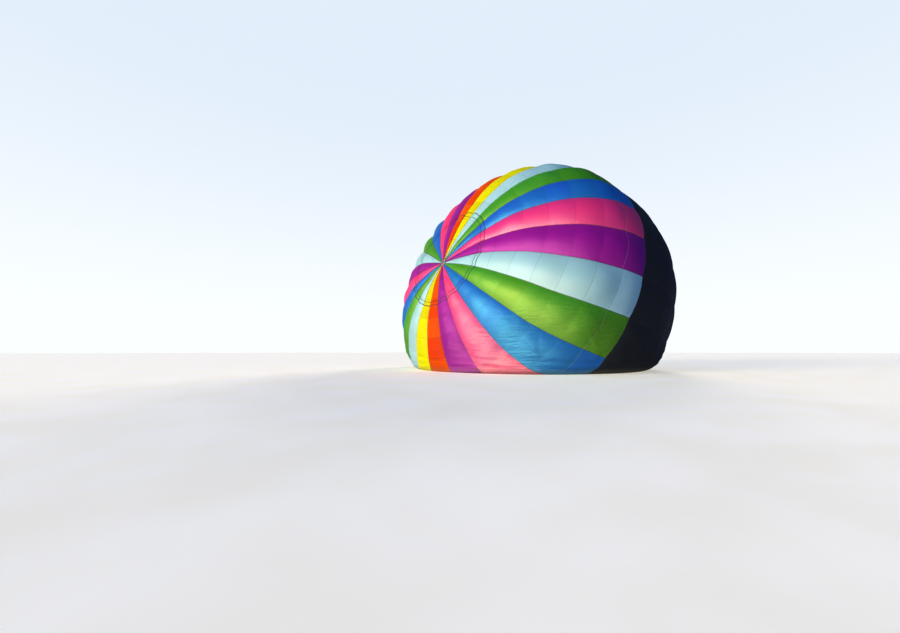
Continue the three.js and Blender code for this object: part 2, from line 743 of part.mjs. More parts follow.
// A burner's can, open at the top, with its foot on the block and the vaporising coil inside
function canGeometry(side) {
  const inner = CAN.radius - CAN.wall;
  const floor = CAN.foot + CAN.cone;
  const outline = [
    [0, 0], [60, 0], [60, CAN.foot], [CAN.radius, floor], [CAN.radius, CAN.height],
    [inner, CAN.height], [inner, floor + CAN.wall], [0, CAN.foot + CAN.wall],
  ];
  const profile = outline.map(([r, h]) => new THREE.Vector2(r, h));
  const can = new THREE.LatheGeometry(profile, 20).rotateX(Math.PI / 2);
  const foot = FRAME_HEIGHT + BLOCK.z / 2 + GAP;
  return join([can, coilGeometry(floor)]).translate(BASKET_WIDTH / 2, side * CAN.spacing, foot);
}

function coilGeometry(start) {
  const { radius, tube, turns, pitch } = COIL;
  const points = [];
  const perTurn = 12;
  for (let i = 0; i <= turns * perTurn; i++) {
    const turn = (i / perTurn) * 2 * Math.PI;
    const height = start - tube + (i / perTurn) * pitch;
    points.push(new THREE.Vector3(radius * Math.cos(turn), radius * Math.sin(turn), height));
  }
  const section = new THREE.Shape(
    evenSteps(0, 2 * Math.PI, 6).slice(0, 6).map(
      (t) => new THREE.Vector2(tube * Math.cos(t), tube * Math.sin(t)),
    ),
  );
  const path = new THREE.CatmullRomCurve3(points);
  const steps = turns * perTurn;
  return new THREE.ExtrudeGeometry(section, { steps, bevelEnabled: false, extrudePath: path });
}

// A fuel tank: foot ring, round-ended body and the collar that guards its valves
function tankGeometry(x, y) {
  const { radius, height, foot, collar, round } = TANK;
  const outline = [[0, 40], [foot, 40], [foot, 0], [foot + 8, 0], [foot + 8, 50]];
  const bodyTop = height - 90;
  for (let i = 1; i <= 3; i++) {
    const turn = ((Math.PI / 2) * i) / 3;
    outline.push([radius - round * (1 - Math.sin(turn)), 50 + round * (1 - Math.cos(turn))]);
  }
  for (let i = 0; i <= 3; i++) {
    const turn = ((Math.PI / 2) * i) / 3;
    outline.push([radius - round * (1 - Math.cos(turn)), bodyTop - round * (1 - Math.sin(turn))]);
  }
  outline.push([collar, bodyTop + 5], [collar, height], [collar - 8, height]);
  outline.push([collar - 8, bodyTop + 5], [25, bodyTop + 5], [25, height - 20], [0, height - 20]);
  const profile = outline.map(([r, h]) => new THREE.Vector2(r, h));
  const tank = new THREE.LatheGeometry(profile, 16).rotateX(Math.PI / 2);
  return tank.translate(x, y, RUNNER.height + FLOOR + GAP);
}

function material(color, roughness, metalness = 0) {
  return new THREE.MeshStandardMaterial({ color, roughness, metalness });
}

const DARK_CLOTH = material(0x101114, 0.6);
const WEBBING = material(0x2a2a2e, 0.8);
const STEEL = material(0x9a9da1, 0.35, 0.9);
const WICKER = material(0xa9743c, 0.8);
const LEATHER = material(0x4a2a18, 0.6);
const PLYWOOD = material(0xb98d55, 0.7);

function named(name, geometry, surface) {
  const mesh = new THREE.Mesh(geometry, surface);
  mesh.name = name;
  return mesh;
}

function twoDigits(number) {
  return String(number).padStart(2, "0");
}

function makeEnvelope() {
  const envelope = new THREE.Group();
  const goreRows = [VALVE_EDGE, ...evenSteps(VALVE_EDGE + VALVE_LAP, DARK_EDGE, GORE_ROWS)];
  for (let i = 0; i < GORES; i++) {
    const colour = GORE_COLOURS[i % GORE_COLOURS.length];
    const name = `gore_${twoDigits(i + 1)}_${colour}`;
    envelope.add(named(name, clothPanel(goreRows, i, 1), material(COLOURS[colour], 0.5)));
  }
  const darkRows = evenSteps(DARK_EDGE + SEAM_GAP, MOUTH_EDGE, DARK_ROWS);
  const goresEach = GORES / DARK_PANELS;
  for (let i = 0; i < DARK_PANELS; i++) {
    const geometry = clothPanel(darkRows, i * goresEach, goresEach);
    envelope.add(named(`dark_panel_${i + 1}`, geometry, DARK_CLOTH));
  }
  envelope.add(named("parachute_valve", valveGeometry(), material(COLOURS.white, 0.5)));
  envelope.add(named("crown_ring_and_tapes", crownRingGeometry(), WEBBING));
  envelope.add(named("mouth_ring", mouthRingGeometry(), WEBBING));
  CORNERS.forEach((corner, i) => {
    envelope.add(named(`flying_wires_${corner.name}`, flyingWires(i), STEEL));
  });
  return envelope;
}

function makeBasket() {
  const basket = new THREE.Group();
  const walls = basketWalls();
  for (const side of ["upper", "lower", "near", "far"]) {
    basket.add(named(`wicker_wall_${side}`, walls[side], WICKER));
  }
  const centre = BASKET_WIDTH / 2;
  const runnerLength = BASKET_LENGTH - 2 * BASE_TUBE;
  basket.add(named("basket_floor", floorGeometry(), PLYWOOD));
  for (const [name, side] of [["lower", -1], ["upper", 1]]) {
    const place = centre + side * RUNNER.inset;
    const middle = RUNNER.height / 2 - GAP / 2;
    const runner = boxAt(place, 0, middle, RUNNER.width, runnerLength, RUNNER.height - GAP);
    basket.add(named(`runner_${name}`, runner, PLYWOOD));
  }
  basket.add(named("base_edge", basketHoop(BASE_CENTRE, BASE_TUBE), LEATHER));
  basket.add(named("padded_rim", basketHoop(RIM_CENTRE, RIM_TUBE), LEATHER));
  for (const corner of CORNERS) {
    basket.add(named(`upright_${corner.name}`, uprightGeometry(corner), LEATHER));
  }
  basket.add(named("load_frame", loadFrameGeometry(), STEEL));
  basket.add(named("gimbal_ring", gimbalGeometry(), STEEL));
  basket.add(named("burner_block", burnerBlockGeometry(), STEEL));
  basket.add(named("burner_can_near", canGeometry(-1), STEEL));
  basket.add(named("burner_can_far", canGeometry(1), STEEL));
  const tankIn = PROUD + WALL + TANK.radius + 2 * GAP;
  const tankPlaces = { lower_near: [0, -1], lower_far: [0, 1], upper_far: [1, 1] };
  for (const [name, [high, side]] of Object.entries(tankPlaces)) {
    const x = high ? BASKET_WIDTH - tankIn : tankIn;
    const y = side * (BASKET_LENGTH / 2 - tankIn);
    basket.add(named(`fuel_tank_${name}`, tankGeometry(x, y), STEEL));
  }
  basket.rotation.y = -Math.PI / 2;
  basket.position.x = GROUND_X;
  return basket;
}

const balloon = new THREE.Group();
balloon.add(makeEnvelope(), makeBasket());
const bounds = new THREE.Box3().setFromObject(balloon, true);
balloon.position.set(-(bounds.min.x + bounds.max.x) / 2, -(bounds.min.y + bounds.max.y) / 2, 0);

export default balloon;
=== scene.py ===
import math

import bmesh
import bpy
import numpy as np
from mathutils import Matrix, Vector


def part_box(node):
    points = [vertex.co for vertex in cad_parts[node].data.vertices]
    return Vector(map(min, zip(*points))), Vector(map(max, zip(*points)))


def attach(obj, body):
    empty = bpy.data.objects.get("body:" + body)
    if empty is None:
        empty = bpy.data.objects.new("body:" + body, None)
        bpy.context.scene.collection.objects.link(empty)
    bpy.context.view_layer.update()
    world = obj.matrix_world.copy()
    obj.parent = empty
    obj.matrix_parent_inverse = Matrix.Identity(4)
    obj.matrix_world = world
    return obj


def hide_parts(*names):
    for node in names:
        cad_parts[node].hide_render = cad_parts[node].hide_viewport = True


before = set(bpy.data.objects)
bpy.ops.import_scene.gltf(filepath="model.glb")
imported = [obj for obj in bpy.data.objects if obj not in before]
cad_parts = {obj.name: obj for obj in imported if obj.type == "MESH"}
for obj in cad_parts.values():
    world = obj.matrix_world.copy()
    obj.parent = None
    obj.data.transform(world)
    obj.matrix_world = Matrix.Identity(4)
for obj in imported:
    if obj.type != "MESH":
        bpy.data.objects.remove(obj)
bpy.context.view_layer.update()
runner_low, runner_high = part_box("runner_lower")

# The envelope's meridian and how it lies, with the values of the part's source
FULL_RADIUS = 9.0
CROWN_DEPTH = 0.81 * FULL_RADIUS
CROWN_FULLNESS = 0.72
CONE_ANGLE = 0.75
MOUTH_RADIUS = 0.21 * FULL_RADIUS
CROWN_PITCH = math.radians(21)
MOUTH_PITCH_SHARE = 0.3
AXIS_HEIGHT = 0.594 * FULL_RADIUS
AXIS_SLOPE = -0.27
MOUTH_RISE_FROM = 0.3 * FULL_RADIUS
MOUTH_REST = 0.93
CROWN_DROP = 0.078 * FULL_RADIUS
CROWN_DROP_REACH = 0.95 * FULL_RADIUS
GROUND_FILLET = 0.7
HOOP_TO_FEET = 15.93571  # from the widest hoop to the feet of the basket's runners, along X
FEET_X = runner_high[0]
BASKET_Y = (runner_low[1] + runner_high[1]) / 2
ORIGIN_SHIFT = np.array((FEET_X - HOOP_TO_FEET, BASKET_Y, 0.0))
MERIDIAN_STEPS = 400

# Gores, panels and tapes
GORES = 24
GORE_ANGLE = 2 * math.pi / GORES
FIRST_SEAM = math.radians(5.64)
CROWN_BULGE = 0.13
SIDE_BULGE = 0.12
DARK_BULGE = 0.03  # the dark band is drawn almost flat between its tapes
BULGE_FADE = 2.6  # length over which the billow fades towards the dark band
BULGE_CLEAR_OF_GROUND = 1.5
BULGE_CLEAR_OF_MOUTH = 1.8
VALVE_EDGE = 3.27
VALVE_LAP = 0.25
VALVE_SUNK = 0.0106
VALVE_RINGS = 44
VALVE_COLUMNS = 6
DARK_EDGE = 12.12
PANEL = 1.33  # cut length of one panel along its gore
RING_RADIUS = 0.25
DARK_PANEL_GORES = 4
COLOUR_COLUMNS = 24
DARK_COLUMNS = 16
TOP_ROWS = 14
PANEL_ROWS = 20
DARK_ROWS = 120
TAPE_WIDTH = 0.022
TAPE_THICK = 0.003
TAPE_OFF_GROUND = 0.002
HOOP_THICK = 0.002
HOOP_STEPS = 16  # points of a hoop tape on one gore
GORE_COLOURS = (
    "yellow", "white", "green", "blue", "pink", "purple",
    "white", "green", "blue", "pink", "purple", "red",
)

# The basket, in its own frame: x across from the side it lies on, y along, z up from the runners' feet
BASKET_WIDTH = 1.2
BASKET_LENGTH = 1.5
BASKET_HEIGHT = 1.15
MIDDLE = BASKET_WIDTH / 2
RUNNER_HEIGHT = 0.045
RIM_TUBE = 0.045
CORNER_RADIUS = 0.095
WALL_BEND = CORNER_RADIUS - RIM_TUBE
HALF_PLAN = np.array((BASKET_WIDTH, BASKET_LENGTH)) / 2 - CORNER_RADIUS
WALL_FOOT = 0.1353
WALL_TOP = 1.0597
STEP_SIZE = (0.24, 0.12)  # width and height of a step hole
STEP_HEIGHT = 0.52
STEP_OFFSET = 0.19
BINDING_INSET = 0.006
BINDING_SQUARE = 0.35
CANE_RADIUS = 0.0063
CANE_PITCH = 0.0088
CANE_SWING = 0.0085
CANE_REST = 0.2  # share of a stake's pitch on which a cane lies beside it
CUT_CLEAR = 0.004
STAKE_RADIUS = 0.0042
STAKE_PAST = 0.02
LOOP_STEP = 0.012
LACE_SPACING = 0.05
LACE_LIFT = 0.98
SEAM_TURN = 0.7  # from straight up or down towards the outside
UPRIGHT_LACES = 12
UPRIGHT_SLEEVE = 0.028
FRAME_HEIGHT = 2.05
FRAME_TUBE = 0.04
FRAME_HALF = (0.45, 0.6)
BLOCK_HEIGHT = 0.09
CAN_RADIUS = 0.15
CAN_HEIGHT = 0.43
CAN_WALL = 0.006
CAN_SPACING = 0.166
CAN_SEGMENTS = 72
COIL_RADIUS = 0.124
COIL_TUBE = 0.008
COIL_TURNS = 4
COIL_PITCH = 0.068
TANK_RADIUS = 0.15
TANK_HEIGHT = 0.88
TANK_CLEAR = 0.0631  # from the basket's outline, over the canes and stakes
STRAP_LEVELS = (0.22, 0.6)
FLOOR_THICK = 0.02
GIMBAL_HALF = (0.27, 0.39)
GIMBAL_BAR = 0.026
BLOCK_SIZE = (0.15, 0.56)
BOLT_PLACE = (0.055, 0.09)
TRUNNION_RADIUS = 0.01
TRUNNION_BORE = 0.0106
BOSS_RADIUS = 0.022
LUG_HALF_WIDTH = 0.03
LUG_THICK = 0.012
LUG_STEPS = 48
LUG_HOLE = 0.017
LUG_HOLE_HEIGHT = FRAME_HEIGHT + FRAME_TUBE / 2 + 0.075 - 0.03
CLEAR = 0.0003  # between parts that stand on each other
CHAMFER = 0.0015
SHARP_ANGLE = math.radians(35)
CORNERS = {"upper_near": (1, -1), "lower_near": (-1, -1), "lower_far": (-1, 1), "upper_far": (1, 1)}

# Rings and flying wires
ACROSS = np.array((0.0, 1.0, 0.0))
RING_TUBE = 0.018
MOUTH_TUBE = 0.014
WIRE_RADIUS = 0.005
WIRE_SPACING = 0.015
LINK_TUBE = 0.006
LINK_HALF_WIDTH = 0.03
LINK_LENGTH = 0.11
LINK_CLEAR = 0.0014
LINK_PIN = 0.01
WIRE_SHORT = 0.012  # how far each wire ends before its pin
CRIMP_FROM_MOUTH = 0.05
CRIMP_FROM_LINK = 0.075

# Each wall's way out, its way along, its stakes and the middles of its step holes
WALLS = {
    "upper": ((1, 0), (0, 1), 31, (-STEP_OFFSET, STEP_OFFSET)),
    "far": ((0, 1), (-1, 0), 24, (0.0,)),
    "lower": ((-1, 0), (0, -1), 31, (-STEP_OFFSET, STEP_OFFSET)),
    "near": ((0, -1), (1, 0), 24, (0.0,)),
}

FLOOR_REACH = 300.0

# Camera, from the photograph's horizon and the fit of the seams and the outline
PHOTO_WIDTH = 900
FOCAL_PIXELS = 379.4
SENSOR = 36.0
CAMERA_PLACE = ORIGIN_SHIFT + (-20.852, -18.626, 1.222)
CAMERA_HEADING = 0.9224  # from +X towards +Y
CAMERA_RISE = math.radians(5.196)


def link(piece):
    bpy.context.scene.collection.objects.link(piece)
    return piece


def make_camera():
    data = bpy.data.cameras.new("camera")
    data.sensor_width = SENSOR
    data.lens = FOCAL_PIXELS / PHOTO_WIDTH * SENSOR
    data.clip_end = 2 * FLOOR_REACH
    camera = link(bpy.data.objects.new("camera", data))
    camera.location = CAMERA_PLACE
    camera.rotation_euler = (math.pi / 2 + CAMERA_RISE, 0, CAMERA_HEADING - math.pi / 2)
    bpy.context.scene.camera = camera


make_camera()


# Trees of nodes, for which a value is what a node puts out and a sum of values is one more node
class Value:
    def __init__(self, tree, node, output=0):
        self.tree = tree
        self.node = node
        self.output = output

    def socket(self):
        return self.node.outputs[self.output]

    def __getitem__(self, output):
        return Value(self.tree, self.node, output)

    def __add__(self, other):
        return self.tree.math("ADD", self, other)

    def __sub__(self, other):
        return self.tree.math("SUBTRACT", self, other)

    def __rsub__(self, other):
        return self.tree.math("SUBTRACT", other, self)

    def __mul__(self, other):
        if isinstance(other, tuple):
            return self.tree.add("ShaderNodeVectorMath", self, other, operation="MULTIPLY")
        return self.tree.math("MULTIPLY", self, other)

    def __truediv__(self, other):
        return self.tree.math("DIVIDE", self, other)


class Tree:
    def __init__(self, data):
        self.data = data
        data.nodes.clear()

    def feed(self, socket, value):
        if isinstance(value, Value):
            self.data.links.new(value.socket(), socket)
        elif isinstance(value, str) and socket.type == "RGBA":
            socket.default_value = colour(value)
        else:
            socket.default_value = value

    def add(self, kind, *values, **named):
        """A node. What is named with a capital goes into an input, the rest are settings."""
        node = self.data.nodes.new(kind)
        for name, value in named.items():
            if name[0].islower():
                setattr(node, name, value)
        for socket, value in zip(node.inputs, values):
            self.feed(socket, value)
        for name, value in named.items():
            if name[0].isupper():
                self.feed(node.inputs[name.replace("_", " ")], value)
        return Value(self, node)

    def math(self, operation, *values):
        return self.add("ShaderNodeMath", *values, operation=operation)

    def split(self, vector):
        parts = self.add("ShaderNodeSeparateXYZ", vector)
        return parts["X"], parts["Y"], parts["Z"]

    def join(self, x, y, z):
        return self.add("ShaderNodeCombineXYZ", x, y, z)

    def ramp(self, value, start, end, low=0.0, high=1.0):
        """A smooth step of the value, from low at start to high at end."""
        return self.add("ShaderNodeMapRange", value, start, end, low, high, interpolation_type="SMOOTHSTEP")

    def mix(self, factor, first, second):
        mixed = self.add("ShaderNodeMix", factor, data_type="RGBA")
        self.feed(mixed.node.inputs[6], first)
        self.feed(mixed.node.inputs[7], second)
        return mixed[2]

    def noise(self, vector, scale, detail=3.0, roughness=0.5):
        named = {"Vector": vector, "Scale": scale, "Detail": detail, "Roughness": roughness}
        return self.add("ShaderNodeTexNoise", **named)["Fac"]

    def attribute(self, name, output="Fac"):
        return self.add("ShaderNodeAttribute", attribute_name=name)[output]

    def place(self):
        return self.add("ShaderNodeTexCoord")["Object"]

    def group(self, group, **values):
        return self.add("ShaderNodeGroup", node_tree=group, **values)

    def bump(self, height, strength, distance):
        return self.add("ShaderNodeBump", Height=height, Strength=strength, Distance=distance)

    def finish(self, surface, shade, roughness, bump, **more):
        named = {"Base Color": shade, "Roughness": roughness, "Normal": bump, **more}
        self.add("ShaderNodeOutputMaterial", self.add("ShaderNodeBsdfPrincipled", **named))
        return surface


def node_group(title, kind="ShaderNodeTree", **inputs):
    """Makes a node group of a function that takes a tree and its inputs and gives its named outputs."""

    def make(build):
        group = bpy.data.node_groups.new(title, kind)

        def new_socket(label, in_out, kind_of):
            return group.interface.new_socket(label, in_out=in_out, socket_type="NodeSocket" + kind_of)

        for label, start in inputs.items():
            if isinstance(start, str):
                new_socket(label, "INPUT", start)
                continue
            socket = new_socket(label, "INPUT", {int: "Int", float: "Float"}[type(start)])
            socket.default_value = start
        tree = Tree(group)
        entry = tree.add("NodeGroupInput")
        results = build(tree, *[entry[label] for label in inputs])
        kinds = {"VALUE": "Float", "RGBA": "Color", "GEOMETRY": "Geometry"}
        for label, value in results.items():
            new_socket(label, "OUTPUT", kinds[value.socket().type])
        tree.add("NodeGroupOutput", *results.values())
        return group

    return make


def colour(code):
    """Linear colour of a six digit screen colour."""
    channels = [int(code[i : i + 2], 16) / 255 for i in (0, 2, 4)]
    return (*[c / 12.92 if c <= 0.04045 else ((c + 0.055) / 1.055) ** 2.4 for c in channels], 1.0)


# The cloth's surface, as in the part's source, for whole arrays of places
def make_meridian():
    """Running length, axial place and radius of the tight envelope, from its crown past its mouth."""
    turn = np.linspace(0, math.pi / 2, MERIDIAN_STEPS)
    dome = np.stack([-CROWN_DEPTH * np.abs(np.cos(turn)) ** CROWN_FULLNESS, FULL_RADIUS * np.sin(turn)])
    turn = np.linspace(0, CONE_ANGLE, MERIDIAN_STEPS)[1:]
    shoulder = np.stack([FULL_RADIUS * np.sin(turn), FULL_RADIUS * np.cos(turn)])
    cone_length = (shoulder[1, -1] - MOUTH_RADIUS) / math.sin(CONE_ANGLE)
    reach = np.array([cone_length, cone_length + 0.5])
    cone = shoulder[:, -1:] + np.stack([reach * math.cos(CONE_ANGLE), -reach * math.sin(CONE_ANGLE)])
    axial, radius = np.concatenate([dome, shoulder, cone], axis=1)
    along = np.concatenate([[0], np.cumsum(np.hypot(np.diff(axial), np.diff(radius)))])
    return along, axial, radius


MERIDIAN = make_meridian()
MOUTH_EDGE = MERIDIAN[0][-2]
MOUTH_AXIAL = MERIDIAN[1][-2]


def smooth_step(value, start, end):
    share = np.clip((value - start) / (end - start), 0, 1)
    return share * share * (3 - 2 * share)


def radius_at(along):
    return np.maximum(1e-5, np.interp(along, MERIDIAN[0], MERIDIAN[2]))


def tilt_at(axial):
    return CROWN_PITCH * (1 - (1 - MOUTH_PITCH_SHARE) * np.maximum(0, axial / MOUTH_AXIAL) ** 2)


def axis_height_at(axial):
    mouth_height = MOUTH_REST * MOUTH_RADIUS * math.cos(tilt_at(MOUTH_AXIAL))
    fall = AXIS_HEIGHT + AXIS_SLOPE * MOUTH_AXIAL
    rise = (mouth_height - fall) / (MOUTH_AXIAL - MOUTH_RISE_FROM) ** 2
    return AXIS_HEIGHT + AXIS_SLOPE * axial + rise * np.maximum(0, axial - MOUTH_RISE_FROM) ** 2


def pressed_hoop(radius, height):
    """Arc radius, half of the arc's length and half of the chord of a hoop pressed on the ground."""

    def arc_for(half):
        return math.pi * radius / (math.pi - half + np.sin(half))

    low = np.zeros_like(radius)
    high = np.full_like(radius, math.pi * 0.999)
    for _ in range(40):
        half = (low + high) / 2
        tall = (1 + np.cos(half)) * arc_for(half) > height
        low = np.where(tall, half, low)
        high = np.where(tall, high, half)
    half = np.where(height >= 2 * radius, 0.0, low)
    arc = arc_for(half)
    return arc, arc * (math.pi - half), arc * np.sin(half)


def hoop_point(radius, height, length):
    """Sideways place and height of the cloth in its hoop's plane, at a cloth length from the hoop's top."""
    arc, arc_half, chord = pressed_hoop(radius, height)
    fillet = np.minimum(GROUND_FILLET, chord)
    reach = np.abs(length)

    def on_arc(run):
        return arc * np.sin(run / arc), height - arc + arc * np.cos(run / arc)

    arc_across, arc_up = on_arc(reach)
    start_across, start_up = on_arc(arc_half - fillet)
    t = np.clip((reach - arc_half + fillet) / np.maximum(2 * fillet, 1e-9), 0, 1)
    bend_across = (1 - t) ** 2 * start_across + 2 * t * (1 - t) * chord + t**2 * (chord - fillet)
    on_ground = reach >= arc_half + fillet
    lifted = reach <= arc_half - fillet
    across = np.where(lifted, arc_across, np.where(on_ground, chord - (reach - arc_half), bend_across))
    up = np.where(lifted, arc_up, np.where(on_ground, 0.0, (1 - t) ** 2 * start_up))
    return np.sign(length) * across, up


def smooth_points(along, angle):
    """The cloth before the gores billow. The angle is clockwise from the top, seen from the crown."""
    along, angle = np.broadcast_arrays(np.asarray(along, float), np.asarray(angle, float))
    axial = np.interp(along, MERIDIAN[0], MERIDIAN[1])
    radius = radius_at(along)
    tilt = tilt_at(axial)
    axis_height = axis_height_at(axial)
    height = radius + axis_height / np.cos(tilt)
    wrapped = np.mod(angle + math.pi, 2 * math.pi) - math.pi
    across, up = hoop_point(radius, height, wrapped * radius)
    rise = up - (height - radius)
    slack = np.where(axial < 0, np.maximum(0, 1 - radius / CROWN_DROP_REACH) ** 2, 0)
    level = np.maximum(0, axis_height + rise * np.cos(tilt) - CROWN_DROP * slack)
    return np.stack([axial + rise * np.sin(tilt), -across, level], axis=-1) + ORIGIN_SHIFT


def unit(vectors):
    return vectors / np.maximum(np.linalg.norm(vectors, axis=-1, keepdims=True), 1e-12)


def tangents(along, angle):
    """Unit vectors along the cloth towards the mouth, and round the hoop."""
    near = np.maximum(np.asarray(along, float) - 0.004, 0)
    lengthwise = smooth_points(near + 0.008, angle) - smooth_points(near, angle)
    sideways = smooth_points(along, angle + 0.001) - smooth_points(along, angle - 0.001)
    return unit(lengthwise), unit(sideways)


def outward(along, angle):
    lengthwise, sideways = tangents(np.maximum(along, 0.06), angle)
    return unit(np.cross(sideways, lengthwise))


def bulge_share(along):
    near_mouth = smooth_step(MOUTH_EDGE - along, 0, BULGE_CLEAR_OF_MOUTH)
    share = CROWN_BULGE + (SIDE_BULGE - CROWN_BULGE) * smooth_step(along, 0, FULL_RADIUS)
    share = share + (DARK_BULGE - share) * smooth_step(along, DARK_EDGE - BULGE_FADE, DARK_EDGE)
    return share * near_mouth


def loose_waves(along, gore, share, level):
    """How far the half filled cloth stands off its even billow: slack waves, panels and creases."""
    off_seam = 1 - (2 * share - 1) ** 2
    angle = FIRST_SEAM + (gore + share) * GORE_ANGLE
    waves = 0.020 * np.sin(1.15 * along + 2 * angle + 0.6) + 0.012 * np.sin(2.3 * along - 5 * angle + 2.1)
    own = 0.016 * off_seam * np.sin(2.05 * along + 2.4 * gore + 2.2 * np.sin(0.6 * along + gore))
    panel = np.mod((DARK_EDGE - along) / PANEL, 1)
    pillow = 0.022 * off_seam * 4 * panel * (1 - panel)
    near_ground = smooth_step(2.4 - level, 0, 2.0) * off_seam
    folds = 0.018 * near_ground * np.sin(16 * level + 2.0 * np.sin(1.1 * along + gore) + 0.7 * gore)
    lifted = smooth_step(level, 0.02, 0.6)
    started = smooth_step(along, 0.2, 2.0)
    return (waves + own + pillow + folds) * lifted * started


def cloth_points(along, gore, share, raised=0.0):
    """The cloth's outer face at a length along a gore and a share, 0 to 1, of its width."""
    along, gore, share = np.broadcast_arrays(
        np.asarray(along, float), np.asarray(gore, float), np.asarray(share, float)
    )
    angle = FIRST_SEAM + (gore + share) * GORE_ANGLE
    place = smooth_points(along, angle)
    width = GORE_ANGLE * radius_at(along)
    level = place[..., 2]
    off_ground = smooth_step(level, 0, BULGE_CLEAR_OF_GROUND)
    billow = bulge_share(along) * width * (0.5 - (2 * share - 1) ** 2) * off_ground
    off = billow + loose_waves(along, gore, share, level) + raised
    place = place + outward(along, angle) * off[..., None]
    place[..., 2] = np.maximum(place[..., 2], 0.0)
    return place


# Meshes
def mesh_piece(name, points, faces, edges=()):
    mesh = bpy.data.meshes.new(name)
    mesh.from_pydata([tuple(p) for p in points], list(edges), faces)
    mesh.update()
    mesh.shade_smooth()
    return link(bpy.data.objects.new(name, mesh))


def ring_faces(rings, per, closed=False):
    """Faces between rings of points, the last ring joined to the first where it is closed."""
    faces = []
    for ring in range(rings if closed else rings - 1):
        low, high = ring * per, (ring + 1) % rings * per
        faces += [(low + c, low + (c + 1) % per, high + (c + 1) % per, high + c) for c in range(per)]
    return faces


def end_faces(rings, per):
    return [tuple(range(per - 1, -1, -1)), tuple(range((rings - 1) * per, rings * per))]


def give(piece, name, values):
    """A named value or vector for each point of a mesh."""
    values = np.asarray(values, dtype=np.float32)
    kind, key = ("FLOAT_VECTOR", "vector") if values.ndim == 2 else ("FLOAT", "value")
    piece.data.attributes.new(name, kind, "POINT").data.foreach_set(key, values.ravel())


def mark_cloth(piece, along, gore, share, half):
    """Where each point lies on its flat gore, and how far from the gore's seams. A pole has none."""
    across = (2 * share - 1) * half
    spread = np.stack(np.broadcast_arrays(across, along, gore + 0.0), axis=-1).reshape(-1, 3)
    poles = len(piece.data.vertices) - len(spread)
    give(piece, "cloth_place", np.pad(spread, ((poles, 0), (0, 0))))
    give(piece, "seam_gap", np.pad((half - np.abs(across)).ravel(), (poles, 0)))


def dress(piece, *surfaces):
    piece.data.materials.clear()
    for surface in surfaces:
        piece.data.materials.append(surface)


def fit(piece, slot, *nodes, body="balloon"):
    """Puts a finished piece on its body and in place of its solids. Its slot is not used."""
    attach(piece, body)
    if nodes:
        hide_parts(*nodes)
    return piece


# Cloth materials
@node_group("ripstop weave", Place="Vector", Cell=0.008)
def ripstop(tree, place, cell):
    """Height of a plain weave with thicker threads in a square grid, from places in metres."""
    cells = tree.add("ShaderNodeVectorMath", place, tree.join(cell, cell, cell), operation="DIVIDE")
    x, y, _ = tree.split(cells)
    ribs = [tree.ramp(tree.math("PINGPONG", value, 0.5), 0.0, 0.12, 1.0, 0.0) for value in (x, y)]
    return {"Height": tree.math("MAXIMUM", *ribs)}


@node_group("panel tint", Colour="Color", Amount=0.16)
def panel_tint(tree, shade, amount):
    """Small differences of dye lot and age between the panels of a gore, partly painted shading that changes
    from panel to panel.
    """
    _, along, gore = tree.split(tree.attribute("cloth_place", "Vector"))
    panel = tree.math("FLOOR", (DARK_EDGE - along) / PANEL)
    # Each panel's random brightness is partly its dye lot and partly painted shade from panel to panel.
    lot = tree.add("ShaderNodeTexWhiteNoise", tree.join(panel, gore, 3.0))["Value"]
    shift = (lot - 0.5) * amount
    dye_and_painted_shade = tree.add("ShaderNodeHueSaturation", Color=shade, Value=shift + 1.0, Hue=shift * 0.12 + 0.5)
    return {"Colour": dye_and_painted_shade}


@node_group("sewn seams", Lap=0.022)
def sewn_seams(tree, lap):
    """Masks of the lapped seams, along the gore's edges and between its panels, and of one hoop tape."""
    _, along, _ = tree.split(tree.attribute("cloth_place", "Vector"))
    panel_gap = tree.math("PINGPONG", (DARK_EDGE - along) / PANEL, 0.5) * PANEL
    hoop_gap = tree.math("ABSOLUTE", along - (DARK_EDGE - PANEL))
    gore_seam = tree.ramp(tree.attribute("seam_gap"), lap, lap * 1.6, 1.0, 0.0)
    panel_seam = tree.ramp(panel_gap, lap * 0.4, lap, 1.0, 0.0)
    hoop_tape = tree.ramp(hoop_gap, lap * 0.7, lap, 1.0, 0.0)
    height = tree.math("MAXIMUM", gore_seam, panel_seam)
    return {"Gore Seam": gore_seam, "Panel Seam": panel_seam, "Hoop Tape": hoop_tape, "Height": height}


@node_group("slack creases", Creases=0.085, Gathers=0.016, Crumple=0.012)
def slack_creases(tree, creases, gathers, crumple):
    """Height of slack cloth: level creases low down, gathers at the sewn tapes and soft crumple."""
    place = tree.place()
    _, _, level = tree.split(place)
    patches = tree.ramp(tree.noise(place, 0.4, 2.0), 0.42, 0.6, 0.12, 1.0)
    low = tree.ramp(level, 2.0, 4.3, 1.0, 0.0)
    lines = tree.noise(place * (0.9, 0.9, 9.0), 1.0, 4.0, 0.66)
    across, along, gore = tree.split(tree.attribute("cloth_place", "Vector"))
    near = tree.ramp(tree.attribute("seam_gap"), 0.03, 0.5, 1.0, 0.0)
    rows = tree.noise(tree.join(across * 0.7, along * 5.0, gore), 1.0, 2.0)
    soft = tree.noise(place, 2.2, 4.0, 0.55)
    return {"Height": lines * (patches * low) * creases + rows * near * gathers + soft * crumple}


@node_group("ground dust", Colour="Color", Reach=0.3, Amount=0.3)
def ground_dust(tree, shade, reach, amount):
    """Dew and dust picked up from the ground."""
    place = tree.place()
    _, _, level = tree.split(place)
    uneven = tree.noise(place, 3.0, 5.0, 0.6) * reach
    mask = tree.ramp(level - uneven, 0.0, reach, 1.0, 0.0) * amount
    return {"Colour": tree.mix(mask, shade, "8a8062"), "Mask": mask}


def new_material(name):
    surface = bpy.data.materials.new(name)
    surface.use_nodes = True
    return surface, Tree(surface.node_tree)


